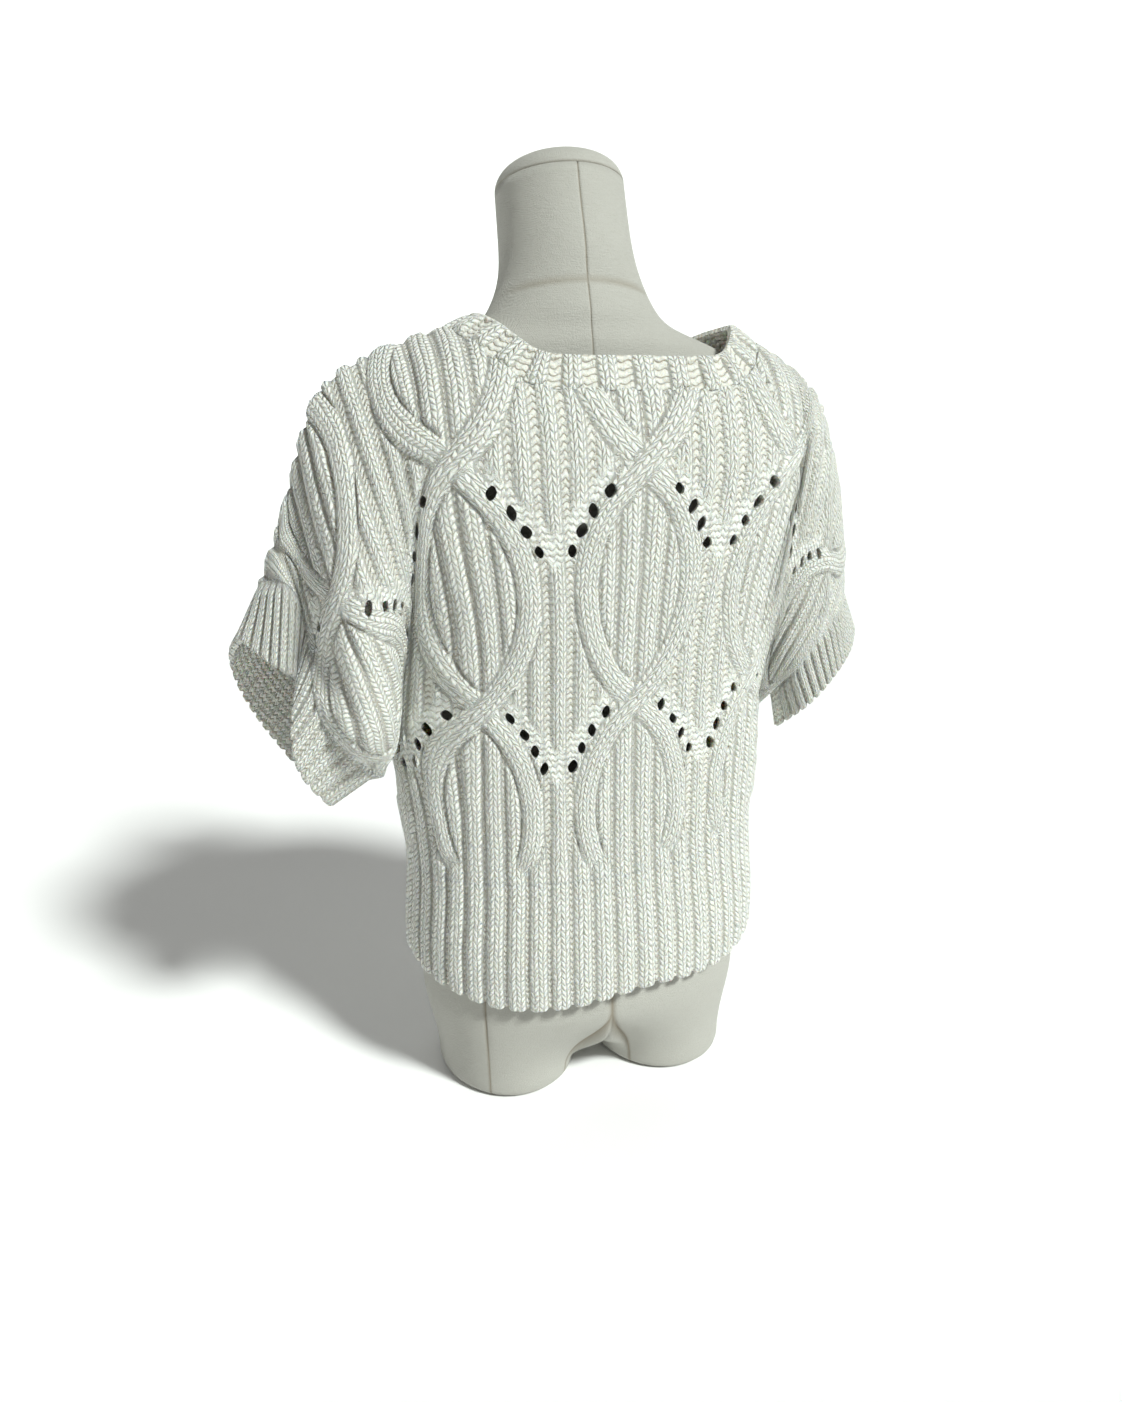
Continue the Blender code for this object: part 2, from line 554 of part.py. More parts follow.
def shell(outer, inner, outer_triangles, inner_triangles):
    """A closed wall from two skins whose edge points are numbered alike, joined by a rim."""
    count = len(outer)
    faces = [tuple(int(i) for i in f) for f in outer_triangles]
    directed = {(f[k], f[(k + 1) % 3]) for f in faces for k in range(3)}
    rim = [(a, b) for a, b in directed if (b, a) not in directed]
    inside = [tuple(int(i) + count for i in reversed(f)) for f in inner_triangles]
    walls = [(b, a, a + count, b + count) for a, b in sorted(rim)]
    return np.vstack([outer, inner]), faces + inside + walls


def panel_skin(face, fine):
    """Points on the mean outline of a panel, their normals, their relief and the triangles."""
    places, triangles = triangulate(face, fine)
    s, t = flat_place(places[:, 0], places[:, 1])
    point, normal, _, _ = seam_frame(s, t, face)
    return point, normal, relief(s, t), oriented(point, triangles, normal)


def panel_mesh(face):
    """The wall of the back or front panel: a fine ribbed outside and a coarser plain inside."""
    point, normal, rise, outside = panel_skin(face, True)
    outer = point + normal * (WALL - INSIDE + rise)[:, None]
    point, normal, _, inside = panel_skin(face, False)
    inner = point - normal * INSIDE
    return shell(outer, inner, outside, inside)


def strip_triangles(rows, columns, closed=False):
    """Triangles of a grid of rows and columns, wrapped round when closed."""
    span = columns if closed else columns - 1
    r, c = np.meshgrid(np.arange(rows - 1), np.arange(span), indexing="ij")
    a = (r * columns + c).ravel()
    b = (r * columns + (c + 1) % columns).ravel()
    d = ((r + 1) * columns + c).ravel()
    e = ((r + 1) * columns + (c + 1) % columns).ravel()
    return np.vstack([np.stack([a, b, e], 1), np.stack([a, e, d], 1)])


def oriented(outer, triangles, normal):
    """The triangles, turned over if they face against the normals."""
    a, b, c = (outer[triangles[:, k]] for k in range(3))
    facing = (np.cross(b - a, c - a) * normal[triangles[:, 0]]).sum()
    return triangles if facing > 0 else triangles[:, ::-1]


# ---- Hem ribs -----------------------------------------------------------------------------------
HEM_ROWS = 3
RIB_SHAPE = (0.0, 1.0, 1.0)     # valley and the two shoulders of a rib


def hem_edge_height(s, x):
    """Height of the hem edge: lifted at the sides and over the middle of the back."""
    lift = 30.0 * (s / HALF_WIDTH) ** 2 + LEAN * x
    raised = 11.0 * np.exp(-((x + 30.0) / 55.0) ** 2)
    lowered = 5.0 * np.exp(-((x - 100.0) / 50.0) ** 2)
    return HEM_EDGE_Z + lift + raised - lowered


def hem_point(s, down, face):
    """A point of the hem rib, down being 0 at its seam with the panel and 1 at its edge."""
    arc = s + TURN if face == BACK else np.where(s > 0, 1.0, -1.0) * 2.0 * HALF_WIDTH - s + TURN
    arc = (arc + 2.0 * HALF_WIDTH) % (4.0 * HALF_WIDTH) - 2.0 * HALF_WIDTH
    x, _ = ring_point(arc, np.full(len(s), HEM_TOP_Z))
    top = HEM_TOP_Z + LEAN * x - SEAM_GAP
    z = top + (hem_edge_height(s, x) - top) * down
    x, y = ring_point(arc, z)
    return np.stack([x, y, z], axis=1)


def hem_mesh(face):
    """The ribbed hem of one panel."""
    ribs = int(round(2.0 * HALF_WIDTH / HEM_RIB))
    columns = len(RIB_SHAPE) * ribs + 1
    s = np.linspace(-HALF_WIDTH, HALF_WIDTH, columns)
    shape = np.array([RIB_SHAPE[k % len(RIB_SHAPE)] for k in range(columns)])
    d = 0.5
    outer, inner, normals = [], [], []
    for row in range(HEM_ROWS):
        down = np.full(columns, row / (HEM_ROWS - 1.0))
        point = hem_point(s, down, face)
        right, left = np.minimum(s + d, HALF_WIDTH), np.maximum(s - d, -HALF_WIDTH)
        along = hem_point(right, down, face) - hem_point(left, down, face)
        other = hem_point(right, down, -face) - hem_point(left, down, -face)
        low, high = np.minimum(down + 0.02, 1.0), np.maximum(down - 0.02, 0.0)
        drop = hem_point(s, low, face) - hem_point(s, high, face)
        normal = unit(np.cross(unit(along), unit(drop))) * face
        for edge in (0, -1):
            twin = unit(np.cross(unit(other[edge]), unit(drop[edge]))) * -face
            normal[edge] = unit(normal[edge] + twin)
        point[0] += unit(along[0]) * SEAM_GAP / 2.0
        point[-1] -= unit(along[-1]) * SEAM_GAP / 2.0
        outer.append(point + normal * (WALL - INSIDE + TRIM_RISE * shape)[:, None])
        inner.append(point - normal * INSIDE)
        normals.append(normal)
    outer = np.vstack(outer)
    triangles = oriented(outer, strip_triangles(HEM_ROWS, columns), np.vstack(normals))
    return shell(outer, np.vstack(inner), triangles, triangles)


# ---- Cuffs --------------------------------------------------------------------------------------
def cuff_loop(side):
    """Flat heights and faces round a cuff: up the back from the underarm, down the front."""
    heights = cuff_heights()
    t = np.concatenate([heights, heights[-2:0:-1]])
    on_back = np.concatenate([np.ones(len(heights), bool), np.zeros(len(heights) - 2, bool)])
    return t, on_back


def cuff_mesh(side):
    """The ribbed cuff on the wearer's left (side 1) or right (side -1)."""
    t, on_back = cuff_loop(side)
    s = side * sleeve_reach(t)
    frames = {face: seam_frame(s, t, face) for face in (BACK, FRONT)}
    point = np.where(on_back[:, None], panel_point(s, t, BACK), panel_point(s, t, FRONT))
    normal = np.where(on_back[:, None], frames[BACK][1], frames[FRONT][1])
    outward = np.where(on_back[:, None], frames[BACK][2], frames[FRONT][2]) * side
    tangent = np.roll(point, -1, axis=0) - np.roll(point, 1, axis=0)
    away = unit(np.cross(normal, tangent))
    away *= np.where((away * outward).sum(axis=1, keepdims=True) < 0, -1.0, 1.0)
    start = point + away * CUFF_GAP
    levels = np.array(SLEEVE_LEVELS)
    ends = {}
    for face in (BACK, FRONT):
        rows = np.repeat(np.array(CUFF_EDGES[side, face], float)[:, None], len(t), axis=1)
        ends[face] = spline(levels, rows, t)
    end = np.where(on_back[:, None], ends[BACK], ends[FRONT])
    columns = len(t)
    shape = np.arange(columns) % 2.0
    middle = (start + end) / 2.0
    rows = [start, middle, end]
    normals = [normal]
    for line in rows[1:]:
        round_loop = np.roll(line, -1, axis=0) - np.roll(line, 1, axis=0)
        own = unit(np.cross(unit(end - start), unit(round_loop)))
        own *= np.where((own * normal).sum(axis=1, keepdims=True) < 0, -1.0, 1.0)
        normals.append(unit(own + np.roll(own, 1, axis=0) + np.roll(own, -1, axis=0)))
    outer = np.vstack([p + n * (WALL - INSIDE + TRIM_RISE * shape)[:, None] for p, n in zip(rows, normals)])
    inner = np.vstack([p - n * INSIDE for p, n in zip(rows, normals)])
    triangles = oriented(outer, strip_triangles(len(rows), columns, closed=True), np.vstack(normals))
    return shell(outer, inner, triangles, triangles)


# ---- Neckband -----------------------------------------------------------------------------------
def neckband_mesh():
    """The ribbed neckband: one ring sewn to both panels' necklines."""
    points, normals = [], []
    for face in (BACK, FRONT):
        s, t = neckline(face)
        _, normal, _, _ = seam_frame(s, t, face)
        point = panel_point(s, t, face)
        if face == FRONT:
            point, normal = point[::-1], normal[::-1]
        points.append(point[:-1])
        normals.append(normal[:-1])
    point = np.vstack(points)
    normal = np.vstack(normals)
    along = unit(np.roll(point, -1, axis=0) - np.roll(point, 1, axis=0))
    centre = point.mean(axis=0)
    up = unit(np.cross(normal, along))
    up *= np.where(((centre - point) * up).sum(axis=1, keepdims=True) < 0, -1.0, 1.0)
    for _ in range(3):
        up = unit(up + 0.5 * (np.roll(up, 1, axis=0) + np.roll(up, -1, axis=0)))
    run = np.concatenate([[0.0], np.linalg.norm(np.diff(point, axis=0), axis=1).cumsum()])
    total = run[-1] + np.linalg.norm(point[0] - point[-1])
    ribs = round(total / NECK_RIB)
    shape = np.clip(0.5 + 1.1 * np.cos(2.0 * np.pi * ribs * run / total), 0.0, 1.0)
    stand = normal * (np.clip(normal[:, 2:], 0.0, 1.0) ** 2) * NECKBAND_STAND
    rows = [point + up * SEAM_GAP]
    rows += [point + up * NECKBAND_DEPTH * f + stand * f for f in (0.5, 1.0)]
    frames = [normal]
    for line in rows[1:]:
        round_loop = unit(np.roll(line, -1, axis=0) - np.roll(line, 1, axis=0))
        own = unit(np.cross(round_loop, up))
        own *= np.where((own * normal).sum(axis=1, keepdims=True) < 0, -1.0, 1.0)
        frames.append(unit(own + 0.5 * (np.roll(own, 1, axis=0) + np.roll(own, -1, axis=0))))
    outer = np.vstack([p + n * (WALL - INSIDE + TRIM_RISE * shape)[:, None] for p, n in zip(rows, frames)])
    inner = np.vstack([p - n * INSIDE for p, n in zip(rows, frames)])
    triangles = oriented(outer, strip_triangles(len(rows), len(point), closed=True), np.vstack(frames))
    return shell(outer, inner, triangles, triangles)


# ---- Dress form ---------------------------------------------------------------------------------
def form_ring(centre_y, centre_z, tilt, half_width, back, front, power):
    """One cross-section of the form, starting at the centre front and going round by the left."""
    angle = np.arange(FORM_SIDES) * 2.0 * np.pi / FORM_SIDES - np.pi / 2.0
    c, d = np.cos(angle), np.sin(angle)
    x = half_width * np.sign(c) * np.abs(c) ** (2.0 / power)
    y = np.where(d > 0, back, front) * np.sign(d) * np.abs(d) ** (2.0 / power)
    lean = np.radians(tilt)
    return np.stack([x, centre_y + y * np.cos(lean), centre_z + y * np.sin(lean)], axis=1)


def cap_dome(ring, rise):
    """Rings that close a neck section with a low dome, and its top point."""
    centre = ring.mean(axis=0)
    lean = np.radians(FORM_SECTIONS[0][2])
    up = np.array([0.0, -np.sin(lean), np.cos(lean)])
    rings = []
    for part in (0.4, 0.8):
        turn = part * np.pi / 2.0
        rings.append(centre + (ring - centre) * np.cos(turn) ** 0.5 + up * rise * np.sin(turn))
    return rings, centre + up * rise


def form_mesh():
    """Torso and neck as one body, parted at the crotch into two flat-footed stubs."""
    rings = [form_ring(*row) for row in FORM_SECTIONS]
    verts = list(np.vstack(rings))
    faces = [tuple(range(FORM_SIDES))]
    for r in range(len(rings) - 1):
        for k in range(FORM_SIDES):
            a, b = r * FORM_SIDES + k, r * FORM_SIDES + (k + 1) % FORM_SIDES
            faces.append((a, a + FORM_SIDES, b + FORM_SIDES, b))
    base = (len(rings) - 1) * FORM_SIDES
    half = FORM_SIDES // 2
    front, back = verts[base], verts[base + half]
    arch = []
    for k in range(1, 8):
        f = k / 8.0
        point = front + (back - front) * f
        point = np.array([0.0, point[1], front[2] - (front[2] - CROTCH_Z) * np.sin(np.pi * f) ** 0.45])
        arch.append(len(verts))
        verts.append(point)
    left = [base + k for k in range(half + 1)] + arch[::-1]
    right = [base + half + k for k in range(half)] + [base] + arch
    for side, loop in ((1.0, left), (-1.0, right)):
        points = np.array([verts[i] for i in loop])
        centre = np.array([side * STUB_X, CROTCH_CENTRE_Y, 0.0])
        angle = np.arctan2((points[:, 1] - centre[1]) / STUB_HALF_DEPTH,
                           (points[:, 0] - centre[0]) / STUB_HALF_WIDTH)
        foot = np.stack([centre[0] + STUB_HALF_WIDTH * np.cos(angle),
                         centre[1] + STUB_HALF_DEPTH * np.sin(angle), 0.0 * angle], 1)
        previous = loop
        steps = ((0.34, 0.0), (0.68, 0.0), (1.0, STUB_FOOT_ROUND), (1.0, 0.0))
        for share, height in steps:
            ring = points + (foot - points) * smooth(share) ** 0.8
            ring[:, 2] = points[:, 2] * (1.0 - share) + height
            if share == 1.0 and height == 0.0:
                inward = unit(np.stack([np.cos(angle), np.sin(angle), 0.0 * angle], 1))
                ring = ring - inward * STUB_FOOT_ROUND
                ring[:, 2] = 0.0
            now = list(range(len(verts), len(verts) + len(loop)))
            verts += list(ring)
            for k in range(len(loop)):
                n = (k + 1) % len(loop)
                faces.append((previous[k], now[k], now[n], previous[n]))
            previous = now
        faces.append(tuple(reversed(previous)))
    return np.array(verts), faces


def cap_mesh():
    """The cover disc on top of the neck, domed."""
    ring = form_ring(*FORM_SECTIONS[0])
    lean = np.radians(FORM_SECTIONS[0][2])
    ring = ring + np.array([0.0, -np.sin(lean), np.cos(lean)]) * SEAM_GAP
    rings, top = cap_dome(ring, CAP_RISE)
    verts = np.vstack([ring] + rings + [top])
    count = FORM_SIDES
    faces = [tuple(range(count))[::-1]]
    for r in range(len(rings)):
        for k in range(count):
            a, b = r * count + k, r * count + (k + 1) % count
            faces.append((a, b, b + count, a + count))
    last = len(rings) * count
    for k in range(count):
        faces.append((last + k, last + (k + 1) % count, len(verts) - 1))
    return verts, faces


# ---- Scene --------------------------------------------------------------------------------------
def clear_scene():
    for obj in list(bpy.data.objects):
        bpy.data.objects.remove(obj, do_unlink=True)


def make_material(name, colour_name, roughness):
    material = bpy.data.materials.new(name)
    material.use_nodes = True
    shader = material.node_tree.nodes["Principled BSDF"]
    shader.inputs["Base Color"].default_value = (*COLOURS[colour_name], 1.0)
    shader.inputs["Roughness"].default_value = roughness
    shader.inputs["Metallic"].default_value = 0.0
    material.diffuse_color = (*COLOURS[colour_name], 1.0)
    return material


def make_object(name, mesh_data, colour_name, roughness):
    verts, faces = mesh_data
    mesh = bpy.data.meshes.new(name)
    placed = (np.asarray(verts) - (CENTRE_X, CENTRE_Y, 0.0)) * MM
    mesh.from_pydata(placed.tolist(), [], faces)
    mesh.validate()
    mesh.materials.append(make_material(name + "_finish", colour_name, roughness))
    obj = bpy.data.objects.new(name, mesh)
    bpy.context.collection.objects.link(obj)
    return obj


def main():
    clear_scene()
    make_object("back_panel", panel_mesh(BACK), "ivory_yarn", 0.9)
    make_object("front_panel", panel_mesh(FRONT), "ivory_yarn", 0.9)
    make_object("back_hem_rib", hem_mesh(BACK), "ivory_yarn", 0.9)
    make_object("front_hem_rib", hem_mesh(FRONT), "ivory_yarn", 0.9)
    make_object("left_cuff", cuff_mesh(1), "ivory_yarn", 0.9)
    make_object("right_cuff", cuff_mesh(-1), "ivory_yarn", 0.9)
    make_object("neckband", neckband_mesh(), "ivory_yarn", 0.9)
    form = make_object("dress_form", form_mesh(), "linen_cover", 0.85)
    form.data.shade_smooth()
    make_object("neck_cap", cap_mesh(), "linen_cover", 0.85)


main()
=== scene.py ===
"""Looks of the cropped cable-and-lace sweater on its linen dress form.

The garment's map takes a flat place on a knitted panel, s sideways and t up from the hem rib, to the
place where that bit of cloth hangs.  Every cloth piece is a thin closed wall on that map: its outer skin
carries the ribs, the travelling bands and the crossings, and its yarn is shaded stitch by stitch.
Lengths are in millimetres until a mesh is made.
"""
from __future__ import annotations

import logging
from collections.abc import Callable
from dataclasses import dataclass
from enum import Enum
from itertools import product

import bpy
import numpy as np
from mathutils import Matrix, Vector
from mathutils.geometry import delaunay_2d_cdt


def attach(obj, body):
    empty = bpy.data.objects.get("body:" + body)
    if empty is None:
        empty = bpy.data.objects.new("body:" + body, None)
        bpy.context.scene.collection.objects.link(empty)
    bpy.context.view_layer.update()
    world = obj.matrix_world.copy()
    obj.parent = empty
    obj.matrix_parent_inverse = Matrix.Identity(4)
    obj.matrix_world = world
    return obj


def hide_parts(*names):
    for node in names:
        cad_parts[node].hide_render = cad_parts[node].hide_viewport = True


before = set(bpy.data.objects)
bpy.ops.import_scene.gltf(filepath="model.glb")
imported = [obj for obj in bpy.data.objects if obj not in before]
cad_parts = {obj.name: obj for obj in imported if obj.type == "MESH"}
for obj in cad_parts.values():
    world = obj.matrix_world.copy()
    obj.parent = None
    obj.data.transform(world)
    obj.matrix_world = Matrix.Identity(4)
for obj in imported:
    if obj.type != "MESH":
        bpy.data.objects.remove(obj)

LOG = logging.getLogger("sweater")
MM = 0.001                                # metres in a millimetre
CENTRE = np.array([5.75, -4.29, 0.0])     # middle of the whole part's box, which is the origin
TINY = 1e-9                               # keeps a vector without length from dividing by nought
Array = np.ndarray


class Face(Enum):
    """Which knitted panel a flat place is on."""

    BACK = 1
    FRONT = -1


# ---- Numbers ------------------------------------------------------------------------------------
def smooth(x: Array) -> Array:
    """Ease from 0 to 1: 3x^2 - 2x^3, held at both ends."""
    x = np.clip(x, 0.0, 1.0)
    return x * x * (3.0 - 2.0 * x)


def unit(v: Array) -> Array:
    """Vectors scaled to length 1."""
    return v / np.maximum(np.linalg.norm(v, axis=-1, keepdims=True), TINY)


def spline(knots: tuple, values: Array, x: Array) -> Array:
    """Natural cubic spline.

    Args:
        knots: Places of the values, rising.
        values: Array of knots x points x co-ordinates.
        x: One place for each point.

    Returns:
        Points x co-ordinates, each read from its own column of values.
    """
    k = np.asarray(knots, float)
    n = len(k)
    h = np.diff(k)
    left = np.eye(n)
    right = np.zeros((n, n))
    for i in range(1, n - 1):
        left[i, i - 1:i + 2] = h[i - 1], 2.0 * (h[i - 1] + h[i]), h[i]
        right[i, i - 1:i + 2] = 6.0 / h[i - 1], -6.0 / h[i - 1] - 6.0 / h[i], 6.0 / h[i]
    bend = np.tensordot(np.linalg.solve(left, right), values, 1)
    i = np.clip(np.searchsorted(k, x) - 1, 0, n - 2)
    p = np.arange(len(x))
    step = h[i][:, None]
    b = np.clip((x - k[i]) / h[i], 0.0, 1.0)[:, None]
    a = 1.0 - b
    curve = (a**3 - a) * bend[i, p] + (b**3 - b) * bend[i + 1, p]
    return a * values[i, p] + b * values[i + 1, p] + curve * step**2 / 6.0


def wobble(x: Array, y: Array, wave: float, seed: int) -> Array:
    """Gentle unevenness of a place: the mean of five sine waves of random heading.

    Args:
        x: Places sideways.
        y: Places upwards.
        wave: The usual length of a wave.
        seed: Start of the random draws.

    Returns:
        Numbers within -1 to 1.
    """
    rng = np.random.default_rng(seed)
    waves, least, spread = 5, 0.6, 6.0    # how many there are, and how their lengths differ
    total = np.zeros(np.broadcast(x, y).shape)
    for _ in range(waves):
        heading, phase, size = rng.uniform(0.0, 2.0 * np.pi, 3)
        scale = 2.0 * np.pi / wave * (least + size / spread)
        total = total + np.sin(scale * (x * np.cos(heading) + y * np.sin(heading)) + phase)
    return total / waves


def rib_end(left: Array) -> Array:
    """Height of a rib's end over its length left: 0.3 + 0.7 sqrt(1 - (1 - left)^2)."""
    tip = np.sqrt(np.clip(1.0 - (1.0 - np.clip(left, 0.0, 1.0)) ** 2, 0.0, 1.0))
    return 0.3 + 0.7 * tip


# ---- How the garment hangs ----------------------------------------------------------------------
# flat heights at which the sleeves and cuffs are given; each row below holds x, y, z at those heights
SLEEVE_LEVELS = (140.0, 230.0, 320.0, 410.0, 505.0)
LEFT_BACK = (
    ((163, 38, 378), (154, 48, 464), (158, 70, 538), (170, 66, 616), (180, 12, 676)),
    ((170, 22, 371), (162, 34, 449), (170, 72, 514), (188, 68, 592), (202, 11, 667)),
    ((176, 6, 362), (170, 34, 430), (184, 78, 488), (206, 65, 568), (220, 10, 648)),
    ((182, 22, 355), (181, 62, 404), (202, 82, 470), (224, 50, 548), (234, 6, 615)),
    ((187, 38, 350), (196, 84, 394), (219, 70, 464), (235, 26, 534), (247, 2, 578)),
    ((193, 46, 344), (218, 80, 394), (234, 36, 456), (249, 16, 528), (261, 0, 542)),
    ((198, 48, 340), (237, 52, 400), (243, 22, 464), (258, 20, 508), (277, -3, 505)),
)
LEFT_FRONT = (
    ((176, 6, 362), (178, -40, 430), (188, -76, 498), (206, -64, 574), (220, 10, 648)),
    ((182, 22, 355), (193, -44, 420), (208, -76, 484), (226, -56, 556), (234, 6, 615)),
    ((187, 38, 350), (208, -42, 408), (228, -70, 464), (243, -52, 530), (247, 2, 578)),
    ((193, 46, 344), (221, -34, 396), (244, -60, 440), (260, -50, 494), (261, 0, 542)),
    ((198, 48, 340), (232, -22, 384), (258, -50, 418), (276, -44, 462), (277, -3, 505)),
)
RIGHT_BACK = (
    ((-174, 34, 380), (-177, 56, 464), (-190, 66, 546), (-203, 58, 622), (-213, 12, 661)),
    ((-180, 16, 368), (-182, 46, 450), (-199, 62, 528), (-216, 55, 600), (-232, 11, 648)),
    ((-183, -4, 352), (-189, 36, 436), (-209, 56, 508), (-228, 46, 578), (-241, 10, 625)),
    ((-189, -4, 354), (-197, 38, 426), (-220, 51, 488), (-242, 38, 552), (-255, 6, 591)),
    ((-196, -3, 360), (-204, 39, 417), (-230, 46, 470), (-252, 32, 524), (-266, 2, 552)),
    ((-203, -2, 368), (-211, 37, 411), (-238, 40, 454), (-260, 26, 492), (-275, -2, 512)),
    ((-210, 0, 376), (-217, 33, 406), (-245, 32, 438), (-268, 18, 456), (-281, -6, 470)),
)
RIGHT_FRONT = (
    ((-183, -4, 352), (-194, -50, 436), (-214, -70, 508), (-231, -54, 578), (-241, 10, 625)),
    ((-189, -4, 354), (-203, -50, 426), (-228, -64, 490), (-246, -48, 556), (-255, 6, 591)),
    ((-196, -3, 360), (-210, -48, 418), (-238, -60, 470), (-258, -44, 528), (-266, 2, 552)),
    ((-203, -2, 368), (-217, -45, 411), (-246, -54, 454), (-266, -38, 494), (-275, -2, 512)),
    ((-210, 0, 376), (-224, -42, 404), (-252, -48, 434), (-272, -34, 458), (-281, -6, 470)),
)
SLEEVES = {
    (1, Face.BACK): LEFT_BACK, (1, Face.FRONT): LEFT_FRONT,
    (-1, Face.BACK): RIGHT_BACK, (-1, Face.FRONT): RIGHT_FRONT,
}
# the open edge of each cuff at the same heights
CUFF_EDGES = {
    (1, Face.BACK): ((240, 30, 307), (268, 54, 366), (258, 24, 416), (269, 24, 434), (301, -3, 458)),
    (1, Face.FRONT): ((240, 30, 307), (276, -34, 345), (300, -54, 380), (314, -50, 425), (301, -3, 458)),
    (-1, Face.BACK): ((-217, 3, 332), (-236, 32, 362), (-262, 30, 388), (-286, 14, 408), (-302, -8, 424)),
    (-1, Face.FRONT): ((-217, 3, 332), (-242, -40, 360), (-270, -46, 384), (-292, -36, 410),
                       (-302, -8, 424)),
}


@dataclass(frozen=True)
class Cut:
    """Flat sizes that the two panels are knitted to: heights t from the hem, half widths s."""

    half_width: float = 265.0
    shoulder_t: float = 505.0
    underarm_t: float = 140.0
    neck_half: float = 138.0
    back_neck_power: float = 5.5
    front_neck_power: float = 4.0
    back_neck_t: float = 408.0
    front_neck_t: float = 358.0
    sleeve_low: float = 335.0
    sleeve_high: float = 400.0

    def reach(self, t: Array) -> Array:
        """Half width of the sleeve part at flat height t: a straight line between its two ends."""
        share = (t - self.underarm_t) / (self.shoulder_t - self.underarm_t)
        return self.sleeve_low + (self.sleeve_high - self.sleeve_low) * share

    def neckline(self, face: Face, count: int) -> tuple[Array, Array]:
        """Evenly spaced places along a neckline, the flat-bottomed curve t = low + |s|^power.

        Args:
            face: The panel.
            count: How many places.

        Returns:
            s and t from the wearer's left to the right.
        """
        low, power = self.back_neck_t, self.back_neck_power
        if face is Face.FRONT:
            low, power = self.front_neck_t, self.front_neck_power
        s = np.linspace(self.neck_half, -self.neck_half, 1601)
        t = low + (self.shoulder_t - low) * (np.abs(s) / self.neck_half) ** power
        run = np.concatenate([[0.0], np.hypot(np.diff(s), np.diff(t)).cumsum()])
        even = np.linspace(0.0, run[-1], count)
        return np.interp(even, run, s), np.interp(even, run, t)


